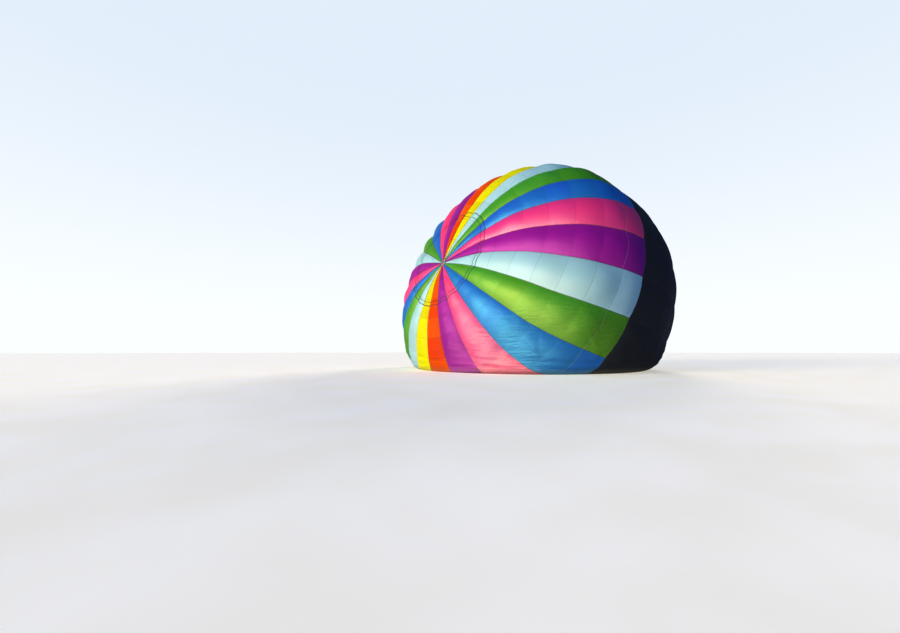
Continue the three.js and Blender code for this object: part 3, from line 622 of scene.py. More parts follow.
def cloth_material(name, code, gloss, tint, roughness, translucent):
    surface, tree = new_material(f"cloth {name}")
    seams = tree.group(sewn_seams)
    shade = tree.group(panel_tint, Colour=code)
    # Seam lines drawn darker, partly the lapped double cloth and partly painted shade in their creases; the
    # hoop tape drawn as a pale line, partly its own colour and partly a painted highlight.
    for seam, share, seam_colour_and_painted_light in (
        ("Panel Seam", 0.22, "20222a"), ("Gore Seam", 0.25, "20222a"), ("Hoop Tape", 0.15, "e4f2f6"),
    ):
        shade = tree.mix(seams[seam] * share, shade, seam_colour_and_painted_light)
    dusty = tree.group(ground_dust, Colour=shade, Reach=0.25)
    weave = tree.group(ripstop, Place=tree.attribute("cloth_place", "Vector"))
    height = weave * 0.00012 + tree.group(slack_creases) + seams["Height"] * 0.002
    bump = tree.bump(height, 1.0, 1.0)
    rough = tree.noise(tree.place(), 0.8) * 0.12 + (roughness - 0.06) + dusty["Mask"] * 0.4
    shader = tree.add(
        "ShaderNodeBsdfPrincipled", Base_Color=dusty, Roughness=rough, Normal=bump,
        Specular_IOR_Level=gloss, IOR=1.3 + 0.6 * gloss, Specular_Tint=tint,
    )
    if translucent:
        through = tree.add("ShaderNodeBsdfTranslucent", Color=dusty, Normal=bump)
        shader = tree.add("ShaderNodeMixShader", translucent, shader, through)
    tree.add("ShaderNodeOutputMaterial", shader)
    return surface


# Colour of each cloth, how far it pales in a low sun and the tint of that
CLOTH_KINDS = {
    "yellow": ("f2ee00", 0.1, "ffffff"),
    "white": ("aee2e8", 0.6, "fff0d0"),
    "green": ("0c9a14", 0.9, "fff890"),
    "blue": ("0460d0", 0.9, "98ffe4"),
    "pink": ("fc0888", 0.8, "ffffdc"),
    "purple": ("a002a0", 0.7, "ff9cc0"),
    "red": ("f25408", 0.1, "ffffff"),
}
CLOTH = {name: cloth_material(name, *kind, 0.5, 0.2) for name, kind in CLOTH_KINDS.items()}
DARK_CLOTH = cloth_material("dark", "20232c", 0.3, "ffffff", 0.6, 0.0)


# Tapes, tubes and sleeves along paths, and what repeats on points
def grow(source, group, name, slot, *nodes, body="balloon", **settings):
    """The plain mesh that a tree makes from a source mesh, which is used up, fitted as a finished piece."""
    modifier = source.modifiers.new(name, "NODES")
    modifier.node_group = group
    for item in group.interface.items_tree:
        if item.item_type == "SOCKET" and item.in_out == "INPUT" and item.name in settings:
            modifier[item.identifier] = settings[item.name]
    depsgraph = bpy.context.evaluated_depsgraph_get()
    mesh = bpy.data.meshes.new_from_object(source.evaluated_get(depsgraph), depsgraph=depsgraph)
    bpy.data.objects.remove(source)
    mesh.name = name
    return fit(link(bpy.data.objects.new(name, mesh)), slot, *nodes, body=body)


def path_source(paths):
    """A mesh of open or closed lines, given as (points, ways out, closed)."""
    points, outs, edges = [], [], []
    for line, out, closed in paths:
        start = len(points)
        points.extend(line)
        outs.extend(np.broadcast_to(out, np.shape(line)))
        edges.extend((start + i, start + i + 1) for i in range(len(line) - 1))
        if closed:
            edges.append((start + len(line) - 1, start))
    source = mesh_piece("path", points, [], edges)
    give(source, "out", outs)
    return source


def point_source(places, outs, alongs):
    source = mesh_piece("places", places, [])
    give(source, "out", outs)
    give(source, "along", alongs)
    return source


def store(tree, geometry, name, value, **settings):
    return tree.add("GeometryNodeStoreNamedAttribute", Geometry=geometry, Name=name, Value=value, **settings)


def stored(tree, name, kind="FLOAT_VECTOR"):
    return tree.add("GeometryNodeInputNamedAttribute", Name=name, data_type=kind)


def round_section(tree, radius, sides):
    return tree.add("GeometryNodeCurvePrimitiveCircle", Resolution=sides, Radius=radius, mode="RADIUS")


def sweep(tree, curve, section, **more):
    return tree.add("GeometryNodeCurveToMesh", Curve=curve, Profile_Curve=section, Fill_Caps=True, **more)


def plain_mesh(tree, mesh, surface, smooth=True):
    """The end of every tree: shading, plain geometry and material."""
    shaded = tree.add("GeometryNodeSetShadeSmooth", Geometry=mesh, Shade_Smooth=smooth)
    plain = tree.add("GeometryNodeRealizeInstances", Geometry=shaded)
    return {"Mesh": tree.add("GeometryNodeSetMaterial", Geometry=plain, Material=surface)}


def set_on_points(tree, places, shape, surface, **more):
    """A shape on every point, its Z turned to the way out and its X to the way along."""
    lifted = tree.add("FunctionNodeAlignRotationToVector", Vector=stored(tree, "out"), axis="Z")
    facing = tree.add("FunctionNodeAlignRotationToVector", Rotation=lifted, Vector=stored(tree, "along"),
                      axis="X", pivot_axis="Z")
    copies = tree.add("GeometryNodeInstanceOnPoints", Points=places, Instance=shape, Rotation=facing, **more)
    return plain_mesh(tree, copies, surface)


@node_group("tape along a path", "GeometryNodeTree",
            Paths="Geometry", Width=0.03, Thickness=0.003, Surface="Material")
def tape(tree, paths, width, thickness, surface):
    """A flat tape along each path, facing the way out that its points carry."""
    curve = tree.add("GeometryNodeMeshToCurve", Mesh=paths)
    facing = tree.add("GeometryNodeSetCurveNormal", Curve=curve, Normal=stored(tree, "out"), mode="FREE")
    kept = store(tree, facing, "run", tree.add("GeometryNodeSplineParameter")["Length"])
    section = tree.add("GeometryNodeCurvePrimitiveQuadrilateral", Width=thickness, Height=width)
    _, side, _ = tree.split(tree.add("GeometryNodeInputPosition"))
    return plain_mesh(tree, sweep(tree, kept, store(tree, section, "side", side)), surface, False)


@node_group("tube along a path", "GeometryNodeTree",
            Paths="Geometry", Radius=0.01, Sides=12, Surface="Material")
def tube(tree, paths, radius, sides, surface):
    """A round tube along each path."""
    curve = tree.add("GeometryNodeMeshToCurve", Mesh=paths)
    kept = store(tree, curve, "run", tree.add("GeometryNodeSplineParameter")["Length"])
    spoke = tree.add("GeometryNodeInputPosition")
    section = store(tree, round_section(tree, radius, sides), "turn", spoke, data_type="FLOAT_VECTOR")
    return plain_mesh(tree, sweep(tree, kept, section), surface)


@node_group("sleeve along a path", "GeometryNodeTree", Paths="Geometry", Radius=0.03, Surface="Material")
def sleeve(tree, paths, radius, surface):
    """A round sleeve along each path, whose girth its points carry."""
    curve = tree.add("GeometryNodeMeshToCurve", Mesh=paths)
    girth = stored(tree, "girth", "FLOAT")
    return plain_mesh(tree, sweep(tree, curve, round_section(tree, radius, 28), Scale=girth), surface)


@node_group("laces on points", "GeometryNodeTree",
            Places="Geometry", Length=0.03, Radius=0.002, Slant=0.25, Surface="Material")
def lacing(tree, places, length, radius, slant, surface):
    """A bent thong over the seam at every point."""
    side, half, dip = length * slant, length * 0.5, length * -0.22
    bend = tree.add(
        "GeometryNodeCurveQuadraticBezier", Resolution=8, Start=tree.join(side * -1.0, half * -1.0, dip),
        Middle=tree.join(0.0, 0.0, length * 0.26), End=tree.join(side, half, dip),
    )
    return set_on_points(tree, places, sweep(tree, bend, round_section(tree, radius, 7)), surface)


@node_group("studs on points", "GeometryNodeTree",
            Places="Geometry", Radius=0.004, Height=0.003, Sides=12, Surface="Material")
def studs(tree, places, radius, height, sides, surface):
    """A domed rivet or a flat bolt head at every point."""
    head = tree.add("GeometryNodeMeshUVSphere", Segments=sides, Rings=6, Radius=1.0)
    return set_on_points(tree, places, head, surface, Scale=tree.join(radius, radius, height))


# Tapes
def webbing_material(name, code):
    """Woven tape: a twill that follows the tape, paler where it has rubbed."""
    surface, tree = new_material(name)
    twill = tree.math("PINGPONG", tree.attribute("run") * 500.0 + tree.attribute("side") * 700.0, 1.0)
    rubbed = tree.ramp(tree.noise(tree.place(), 9.0, 4.0), 0.5, 0.75)
    shade = tree.mix(rubbed * 0.12, code, "c8c4ba")
    return tree.finish(surface, shade, 0.75, tree.bump(twill, 0.4, 0.0006))


LOAD_WEBBING = webbing_material("load tape webbing", "4a494a")
EDGE_WEBBING = webbing_material("edge tape webbing", "17181c")


def cloth_path(along, turns, raised, closed=False):
    """A line on the cloth and off the ground, with its ways out. Turns are gores from the first seam."""
    gore = np.floor(turns)
    points = cloth_points(along, gore, turns - gore, raised)
    points[..., 2] = np.maximum(points[..., 2], TAPE_OFF_GROUND)
    return points, outward(along, FIRST_SEAM + turns * GORE_ANGLE), closed


def make_tapes():
    for name, rows, surface, nodes in (
        ("load_tapes", np.linspace(RING_RADIUS, DARK_EDGE, 160), LOAD_WEBBING, ["crown_ring_and_tapes"]),
        ("load_tapes_dark", np.linspace(DARK_EDGE, MOUTH_EDGE, 150), EDGE_WEBBING, []),
    ):
        source = path_source([cloth_path(rows, seam, TAPE_THICK) for seam in range(GORES)])
        grow(source, tape, name, "webbing", *nodes,
             Width=TAPE_WIDTH, Thickness=TAPE_THICK, Surface=surface)
    turns = np.arange(GORES * HOOP_STEPS) / HOOP_STEPS
    for name, along, width, body, level in (
        ("valve_opening_tape", VALVE_EDGE, 0.045, "balloon", 0.0),
        ("valve_inner_tape", VALVE_EDGE - 0.27, 0.03, "valve", -VALVE_SUNK),
        ("dark_edge_tape", DARK_EDGE, 0.04, "balloon", 0.0),
        ("heat_cloth_tape", MOUTH_EDGE - 1.8, 0.03, "balloon", 0.0),
        ("mouth_edge_tape", MOUTH_EDGE - 0.03, 0.06, "balloon", 0.0),
    ):
        source = path_source([cloth_path(along, turns, level + HOOP_THICK, True)])
        grow(source, tape, name, "webbing", body=body,
             Width=width, Thickness=HOOP_THICK, Surface=EDGE_WEBBING)


# The envelope's cloth
def gore_sheet(name, gore, along, columns, surface, slot, node):
    """One gore of cloth, cut out flat, sewn to its load tapes and in place of its solid."""
    share = np.linspace(0, 1, columns + 1)[None, :]
    along = along[:, None]
    points = cloth_points(along, gore, share)
    rows = np.arange(len(along) - 1)[:, None] * (columns + 1) + np.arange(columns)
    faces = np.stack([rows, rows + 1, rows + columns + 2, rows + columns + 1], axis=-1).reshape(-1, 4)
    piece = mesh_piece(name, points.reshape(-1, 3), faces.tolist())
    mark_cloth(piece, along, gore, share, GORE_ANGLE * radius_at(along) / 2)
    dress(piece, surface)
    fit(piece, slot, node)


def make_envelope():
    whole_panels = int((DARK_EDGE - VALVE_EDGE) / PANEL)
    first_panel = DARK_EDGE - whole_panels * PANEL
    top_rows = np.linspace(VALVE_EDGE, first_panel, TOP_ROWS)[:-1]
    panel_rows = np.linspace(first_panel, DARK_EDGE, whole_panels * PANEL_ROWS + 1)
    colour_rows = np.concatenate([top_rows, panel_rows])
    dark_rows = np.linspace(DARK_EDGE, MOUTH_EDGE, DARK_ROWS + 1)
    for gore in range(GORES):
        number, name = f"{gore + 1:02d}", GORE_COLOURS[gore % len(GORE_COLOURS)]
        gore_sheet(f"gore_cloth_{number}", gore, colour_rows, COLOUR_COLUMNS, CLOTH[name],
                   f"cloth_{name}", f"gore_{number}_{name}")
    for gore in range(GORES):
        gore_sheet(f"dark_cloth_{gore + 1:02d}", gore, dark_rows, DARK_COLUMNS, DARK_CLOTH,
                   "cloth_dark", f"dark_panel_{gore // DARK_PANEL_GORES + 1}")


def make_valve():
    """The whole disc of cloth that closes the crown from inside, a pole and rings round it."""
    edge = VALVE_EDGE + VALVE_LAP
    rings = np.linspace(0.02, edge, VALVE_RINGS)[:, None]
    gore = np.repeat(np.arange(GORES), VALVE_COLUMNS)
    share = np.tile(np.arange(VALVE_COLUMNS) / VALVE_COLUMNS, GORES)
    per = len(gore)
    pole = cloth_points(0.001, 0, 0.0, -VALVE_SUNK).reshape(1, 3)
    points = np.concatenate([pole, cloth_points(rings, gore, share, -VALVE_SUNK).reshape(-1, 3)])
    faces = [(0, 1 + (c + 1) % per, 1 + c) for c in range(per)]
    faces += [tuple(corner + 1 for corner in face) for face in ring_faces(VALVE_RINGS, per)]
    piece = mesh_piece("valve_cloth", points, faces)
    mark_cloth(piece, rings, gore, share, GORE_ANGLE * rings / 2)
    names = list(CLOTH)
    dress(piece, *CLOTH.values())
    indices = [names.index(GORE_COLOURS[number % len(GORE_COLOURS)]) for number in gore]
    piece.data.polygons.foreach_set("material_index", indices * VALVE_RINGS)
    fit(piece, "cloth_white", "parachute_valve", body="valve")


make_tapes()
make_envelope()
make_valve()


# Surfaces of the rigging, the basket and the burners
@node_group("edge wear", Colour="Color", Worn="Color", Amount=0.7, Scale=25.0)
def edge_wear(tree, shade, worn, amount, scale):
    """Colour rubbed away on raised edges and in small patches."""
    raised = tree.ramp(tree.add("ShaderNodeNewGeometry")["Pointiness"], 0.505, 0.57)
    broken = tree.ramp(tree.noise(tree.place(), scale, 5.0, 0.65), 0.4, 0.6)
    patches = tree.ramp(tree.noise(tree.place(), scale, 6.0, 0.7), 0.6, 0.72)
    mask = tree.math("MAXIMUM", raised * broken, patches * 0.5) * amount
    return {"Colour": tree.mix(mask, shade, worn), "Mask": mask}


@node_group("hide grain", Grain=260.0, Creases=0.004)
def hide_grain(tree, grain, creases):
    """Height of leather: pebbled grain, pores and soft creases."""
    cells = tree.add("ShaderNodeTexVoronoi", Vector=tree.place(), Scale=grain)
    pebble = tree.ramp(cells["Distance"], 0.0, 0.7)
    crease = tree.noise(tree.place(), 22.0, 4.0, 0.6)
    return {"Height": pebble * 0.0006 + crease * creases, "Pores": pebble}


@node_group("laid strands", Strands=6.0, Lay=0.05)
def laid_strands(tree, strands, lay):
    """Height of strands laid round a tube in a spiral."""
    x, y, _ = tree.split(tree.attribute("turn", "Vector"))
    around = tree.math("ARCTAN2", y, x) / (2 * math.pi)
    phase = (around + tree.attribute("run") / lay) * strands
    return {"Height": tree.math("SQRT", tree.math("PINGPONG", phase, 0.5))}


def metal_material(name, code, roughness, worn, brushed=(1.0, 1.0, 1.0), heat=0.0):
    """Bare or plated metal, brushed one way, with worn edges and a straw and blue bloom from heat."""
    surface, tree = new_material(name)
    place = tree.place()
    shade = tree.group(ground_dust, Colour=tree.group(edge_wear, Colour=code, Worn=worn))
    streaks = tree.noise(place * brushed, 90.0, 3.0, 0.6)
    shade = tree.mix(streaks * 0.25, shade, "2c2e30")
    if heat:
        x, _, _ = tree.split(place)
        depth = x - (FEET_X - FRAME_HEIGHT - BLOCK_HEIGHT / 2 - CAN_HEIGHT) + tree.noise(place, 9.0) * 0.12
        for start, end, bloom in ((0.05, 0.3, "9a7440"), (0.02, 0.16, "3c4560")):
            shade = tree.mix(tree.ramp(depth, start, end, 1.0, 0.0) * heat, shade, bloom)
    bump = tree.bump(streaks, 0.3, 0.0006)
    return tree.finish(surface, shade, streaks * 0.3 + (roughness - 0.12), bump, Metallic=0.85)


def leather_material(name, code, worn, roughness, grain):
    surface, tree = new_material(name)
    hide = tree.group(hide_grain, Grain=grain)
    mottled = tree.mix(tree.ramp(tree.noise(tree.place(), 6.0, 5.0, 0.6), 0.35, 0.7, 0.0, 0.45), code, worn)
    pored = tree.mix(hide["Pores"] * -0.3 + 0.3, mottled, "1c100a")
    rubbed = tree.group(edge_wear, Colour=pored, Worn=worn, Amount=0.9, Scale=14.0)
    shade = tree.group(ground_dust, Colour=rubbed, Reach=0.35, Amount=0.5)
    rough = rubbed["Mask"] * -0.15 + roughness
    return tree.finish(surface, shade, rough, tree.bump(hide, 0.8, 1.0), Specular_IOR_Level=0.4)


def wicker_material():
    """Varnished cane: every strand its own tone, a few strands darker, fibres along it."""
    surface, tree = new_material("woven cane")
    run, tone = tree.attribute("run"), tree.attribute("tone")
    x, y, _ = tree.split(tree.attribute("turn", "Vector"))
    lot = tree.noise(tree.join(run * 5.0, tone * 50.0, 0.0), 1.0, 2.0)
    fibres = tree.noise(tree.join(x * 900.0, y * 900.0, run * 30.0 + tone * 90.0), 1.0, 4.0)
    shade = tree.mix(tree.ramp(lot * 0.7 + (fibres * 0.5 - 0.1), 0.2, 0.85), "7a4a1e", "d2a05c")
    shade = tree.mix(tree.ramp(tone, 0.86, 0.95, 0.0, 0.55), shade, "56320f")
    shade = tree.group(edge_wear, Colour=shade, Worn="e0bd84", Amount=0.5, Scale=40.0)
    shade = tree.group(ground_dust, Colour=shade, Amount=0.55)
    rough = tree.noise(tree.place(), 12.0) * 0.3 + 0.35
    return tree.finish(surface, shade, rough, tree.bump(fibres, 0.5, 0.002), Specular_IOR_Level=0.35)


def wood_material(name, light, dark, grain, plies):
    """Wood with its grain across the basket, its plies showing on the cut edges."""
    surface, tree = new_material(name)
    place = tree.place()
    fine = tree.noise(place * grain, 14.0, 6.0, 0.65)
    figure = tree.add("ShaderNodeTexWave", Vector=place * grain, Scale=5.0, Distortion=9.0, Detail=3.0)
    shade = tree.mix(tree.ramp(figure["Fac"] * 0.45 + fine * 0.6, 0.25, 0.85), light, dark)
    if plies:
        x, _, _ = tree.split(place)
        layer = tree.ramp(tree.math("PINGPONG", x * 180.0, 0.5), 0.2, 0.3)
        facing, _, _ = tree.split(tree.add("ShaderNodeNewGeometry")["Normal"])
        cut_edge = tree.ramp(tree.math("ABSOLUTE", facing), 0.3, 0.6, 1.0, 0.0)
        shade = tree.mix(layer * cut_edge * 0.7, shade, dark)
    shade = tree.group(edge_wear, Colour=shade, Worn="86683f", Amount=0.5, Scale=34.0)
    shade = tree.group(ground_dust, Colour=shade, Amount=0.5)
    return tree.finish(surface, shade, 0.6, tree.bump(fine, 0.35, 0.002))


def wire_material():
    surface, tree = new_material("wire rope")
    height = tree.group(laid_strands)
    shade = tree.mix(tree.ramp(height, 0.0, 0.6, 0.75, 0.0), "9a9ea2", "1a1815")
    return tree.finish(surface, shade, 0.38, tree.bump(height, 0.9, 0.002), Metallic=0.8)


STEEL = metal_material("plated steel", "a0a3a7", 0.4, "c8cacc", (1.0, 0.12, 1.0))
HEATED_STEEL = metal_material("heated steel", "9a9b9c", 0.36, "c8c4ba", (0.08, 1.0, 1.0), 0.45)
ALUMINIUM = metal_material("brushed aluminium", "b4b8bc", 0.42, "dcdee0", (1.0, 0.1, 0.1))
BRASS = metal_material("brass fittings", "a07c38", 0.38, "d8b870")
WICKER = wicker_material()
SUEDE = leather_material("padded suede", "6e4524", "a57a4c", 0.78, 320.0)
HIDE = leather_material("raw hide", "4a2a16", "8a5c34", 0.6, 180.0)
LACE = leather_material("leather lace", "b08a54", "d8bc8c", 0.7, 400.0)
GRIP = leather_material("rubber grip", "1c1d1f", "3a3b3e", 0.65, 500.0)
PLYWOOD = wood_material("plywood", "c8a068", "8a5e30", (1.0, 0.12, 1.0), True)
HARDWOOD = wood_material("hardwood", "9a7040", "5c3c1c", (1.0, 0.1, 1.0), False)
CABLE = wire_material()


# The basket's frame laid on its side
def from_basket(points):
    points = np.asarray(points, float)
    return np.stack([FEET_X - points[..., 2], BASKET_Y + points[..., 1], points[..., 0]], axis=-1)


def basket_way(way):
    way = np.asarray(way, float)
    return np.stack([-way[..., 2], way[..., 1], way[..., 0]], axis=-1)


def basket_path(line, out, closed=False):
    return from_basket(line), basket_way(out), closed


def at_height(place, height):
    return np.column_stack([place, np.broadcast_to(height, len(place))])


# Shapes are pairs of points in the basket's frame and faces
def circle(count):
    """Cosines and sines of even turns, all the way round."""
    turn = np.linspace(0, 2 * math.pi, count, endpoint=False)
    return np.cos(turn), np.sin(turn)


def spokes(count):
    return at_height(np.column_stack(circle(count)), 0.0)


def turned(foot, way, profile, segments=40):
    """A shape turned about a line, from (radius, distance) pairs from its foot round its outer side."""
    foot, way = np.asarray(foot, float), unit(np.asarray(way, float))
    across = unit(np.cross(way, (0.31, 0.52, 0.79) if abs(way[2]) < 0.99 else (0.0, 1.0, 0.0)))
    cos, sin = circle(segments)
    ring = cos[:, None] * across + sin[:, None] * np.cross(way, across)
    points, faces, starts = [], [], []
    for radius, distance in profile:
        starts.append(len(points))
        middle = foot + distance * way
        points.extend([middle] if radius < 1e-6 else middle + radius * ring)
    starts.append(len(points))
    for low, high, end in zip(starts, starts[1:-1], starts[2:]):
        for c in range(segments):
            after = (c + 1) % segments
            if high - low == 1:
                faces.append((low, high + after, high + c))
            elif end - high == 1:
                faces.append((low + c, low + after, high))
            else:
                faces.append((low + c, low + after, high + after, high + c))
    return np.array(points), faces


def rod(start, end, radius, chamfer=CHAMFER, bored=((0, 0),), segments=32):
    """A rod from its foot to its tip. What is bored from its foot is given from the hole's bottom out."""
    start, end = np.asarray(start, float), np.asarray(end, float)
    length = np.linalg.norm(end - start)
    profile = [*bored, (radius - chamfer, 0), (radius, chamfer)]
    profile += [(radius, length - chamfer), (radius - chamfer, length), (0, length)]
    return turned(start, end - start, profile, segments)


def boss(start, end, depth):
    """A sleeve for a trunnion, bored from the foot's side."""
    hole = ((0, depth), (TRUNNION_BORE, depth), (TRUNNION_BORE, 0.001), (TRUNNION_BORE + 0.001, 0))
    return rod(start, end, BOSS_RADIUS, 0.002, hole, 40)


def block(middle, size, edge, segments):
    shape = bmesh.new()
    bmesh.ops.create_cube(shape, size=1.0)
    bmesh.ops.scale(shape, vec=size, verts=shape.verts)
    bmesh.ops.bevel(shape, geom=shape.edges[:], offset=edge, segments=segments, profile=0.5, affect="EDGES")
    shape.verts.index_update()
    points = np.array([vert.co for vert in shape.verts]) + np.asarray(middle, float)
    faces = [tuple(vert.index for vert in face.verts) for face in shape.faces]
    shape.free()
    return points, faces


def round_rectangle(half_x, half_y, radius, per_corner):
    """A rectangle with round corners, anticlockwise, with its ways out."""
    points, outs = [], []
    for quarter, (x, y) in enumerate(((1, 1), (-1, 1), (-1, -1), (1, -1))):
        turn = (quarter + np.linspace(0, 1, per_corner)) * math.pi / 2
        out = np.stack([np.cos(turn), np.sin(turn)], axis=-1)
        points.append(np.array((x * (half_x - radius), y * (half_y - radius))) + radius * out)
        outs.append(out)
    return np.concatenate(points), np.concatenate(outs)


def bar_ring(half_x, half_y, corner, bar):
    """A ring of square tube in a level plane at the frame's height."""
    middle, outs = round_rectangle(half_x, half_y, corner, 10)
    section, _ = round_rectangle(bar / 2, bar / 2, bar * 0.12, 4)
    points = at_height(middle + (MIDDLE, 0), FRAME_HEIGHT)
    outs = at_height(outs, 0.0)
    ways = unit(np.roll(points, -1, 0) - np.roll(points, 1, 0))
    sides = np.cross(ways, outs)
    rings = points[:, None] + section[:, :1] * outs[:, None] + section[:, 1:] * sides[:, None]
    return rings.reshape(-1, 3), ring_faces(len(points), len(section), True)


def lug(x, y, foot):
    """A plate with a round top that stands on the frame across Y, with a hole."""
    cos, sin = circle(LUG_STEPS)
    below = (LUG_HOLE_HEIGHT - foot) / np.maximum(-sin, 1e-6)
    square = np.minimum(LUG_HALF_WIDTH / np.maximum(np.abs(cos), 1e-6), below)
    reach = np.where(sin >= 0, LUG_HALF_WIDTH, square)
    half, flat = LUG_THICK / 2, LUG_THICK / 2 - CHAMFER
    section = [(LUG_HOLE + CHAMFER, -half), (LUG_HOLE, -flat), (LUG_HOLE, flat), (LUG_HOLE + CHAMFER, half)]
    section += [(reach - CHAMFER, half), (reach, flat), (reach, -flat), (reach - CHAMFER, -half)]
    points = [
        np.column_stack([x + radius * cos, np.full(LUG_STEPS, y + side), LUG_HOLE_HEIGHT + radius * sin])
        for radius, side in section
    ]
    return np.concatenate(points), ring_faces(len(section), LUG_STEPS, True)


def make_part(name, shapes, surface, slot, *nodes, body="balloon"):
    """One piece of shapes in the basket's frame."""
    points, faces, start = [], [], 0
    for shape_points, shape_faces in shapes:
        points.append(shape_points)
        faces += [tuple(start + i for i in face) for face in shape_faces]
        start += len(shape_points)
    piece = mesh_piece(name, from_basket(np.concatenate(points)), faces)
    piece.data.set_sharp_from_angle(angle=SHARP_ANGLE)
    dress(piece, surface)
    fit(piece, slot, *nodes, body=body)


def set_on(group, name, rows, slot, **settings):
    """What a tree sets on rows of places, each row given as places, ways out and ways along."""
    places, outs, alongs = (np.concatenate([np.atleast_2d(part) for part in parts]) for parts in zip(*rows))
    source = point_source(from_basket(places), basket_way(outs), basket_way(alongs))
    grow(source, group, name, slot, **settings)


# The crown ring, the mouth ring and the flying wires
def make_crown_ring():
    """A steel ring in the middle of the valve's top, with every load tape looped round it."""
    facing = np.array((-math.cos(CROWN_PITCH), 0, math.sin(CROWN_PITCH)))
    seams = np.arange(GORES)
    middle = cloth_points(RING_RADIUS, seams, 0.0, RING_TUBE / 2).mean(axis=0)
    first = unit(np.cross(facing, ACROSS))
    cos, sin = circle(96)
    ring = middle + RING_RADIUS * (cos[:, None] * first + sin[:, None] * np.cross(facing, first))
    grow(path_source([(ring, facing, True)]), tube, "crown_ring", "steel",
         Radius=RING_TUBE, Sides=24, Surface=STEEL)
    loops = []
    around = np.linspace(math.radians(-60), math.radians(215), 16)[:, None]
    for seam in seams:
        outside = cloth_points(RING_RADIUS + 0.16, seam, 0.0, 0.007)
        away = outside - middle
        away = unit(away - (away @ facing) * facing)
        core = middle + RING_RADIUS * away
        bend = core + (RING_TUBE + TAPE_THICK) * (np.sin(around) * facing - np.cos(around) * away)
        loop = np.concatenate([bend[::-1], outside[None]])[1:]
        ways = np.concatenate([unit(bend - core)[::-1], facing[None]])[1:]
        loops.append((loop, ways, False))
    grow(path_source(loops), tape, "crown_loops", "webbing",
         Width=TAPE_WIDTH, Thickness=TAPE_THICK, Surface=LOAD_WEBBING)


def mouth_ring_points(turn):
    """Middles of the tube round the mouth, beyond the last of the cloth and no lower than the ground."""
    tilt = tilt_at(MOUTH_AXIAL)
    facing = np.array((math.cos(tilt), 0, -math.sin(tilt)))
    lengthwise, _ = tangents(MOUTH_EDGE - 0.02, turn)
    points = cloth_points(MOUTH_EDGE, (turn - FIRST_SEAM) / GORE_ANGLE, 0.0, -0.005)
    points = points + lengthwise * ((MOUTH_TUBE + 0.0006) / (lengthwise @ facing))[:, None]
    short = np.maximum(0, MOUTH_TUBE / math.cos(math.pi / 8) - points[:, 2]) / math.cos(tilt)
    points[:, 0] += short * math.sin(tilt)
    points[:, 2] += short * math.cos(tilt)
    return points, facing


def make_mouth_ring():
    points, facing = mouth_ring_points(FIRST_SEAM + np.arange(GORES * 4) / (GORES * 4) * 2 * math.pi)
    grow(path_source([(points, facing, True)]), tube, "mouth_edge_cable", "webbing", "mouth_ring",
         Radius=MOUTH_TUBE, Sides=16, Surface=EDGE_WEBBING)


def make_flying_wires():
    """Wires from the mouth to the four corners of the load frame, with their links, pins and crimps."""
    wires, ovals, pins, crimps, crimp_ways = [], [], [], [], []
    per_corner = GORES // len(CORNERS)
    half = per_corner * WIRE_SPACING / 2
    cos, sin = (part[:, None] for part in circle(48))
    bend = LINK_HALF_WIDTH * cos + np.sign(cos) * (LINK_LENGTH / 2 - LINK_HALF_WIDTH)
    for index, (x, y) in enumerate(CORNERS.values()):
        hole = from_basket((MIDDLE + x * FRAME_HALF[0], y * FRAME_HALF[1], LUG_HOLE_HEIGHT))
        ends, _ = mouth_ring_points(FIRST_SEAM + (index * per_corner + np.arange(per_corner)) * GORE_ANGLE)
        ends = ends[np.argsort(ends[:, 1])]
        pull = unit((ends.mean(axis=0) - hole) * (1, 0, 1))
        near = hole + pull * (LUG_HOLE - LINK_TUBE - LINK_CLEAR)
        gather = near + pull * LINK_LENGTH
        for i, end in enumerate(ends):
            foot = gather + (i - (per_corner - 1) / 2) * WIRE_SPACING * ACROSS
            way = unit(foot - end)
            start = end + way * (MOUTH_TUBE + 0.004)
            run = np.linspace(0, 1, 40)[:, None]
            wires.append((start + run * (foot - way * WIRE_SHORT - start), (0, 0, 1), False))
            crimps += [start + way * CRIMP_FROM_MOUTH, foot - way * CRIMP_FROM_LINK]
            crimp_ways += [way, way]
        oval = (near + gather) / 2 + bend * pull + LINK_HALF_WIDTH * sin * ACROSS
        ovals.append((oval, np.cross(pull, ACROSS), True))
        pins.append((np.linspace(gather - half * ACROSS, gather + half * ACROSS, 6), (0, 0, 1), False))
    nodes = [f"flying_wires_{name}" for name in CORNERS]
    for name, slot, paths, nodes, radius, sides, surface in (
        ("flying_wires", "wire", wires, nodes, WIRE_RADIUS, 8, CABLE),
        ("wire_links", "steel", ovals, [], LINK_TUBE, 14, STEEL),
        ("wire_pins", "steel", pins, [], LINK_PIN, 20, STEEL),
    ):
        grow(path_source(paths), tube, name, slot, *nodes, Radius=radius, Sides=sides, Surface=surface)
    source = point_source(crimps, crimp_ways, np.cross(crimp_ways, ACROSS))
    grow(source, studs, "wire_crimps", "steel", Radius=0.008, Height=0.024, Surface=STEEL)


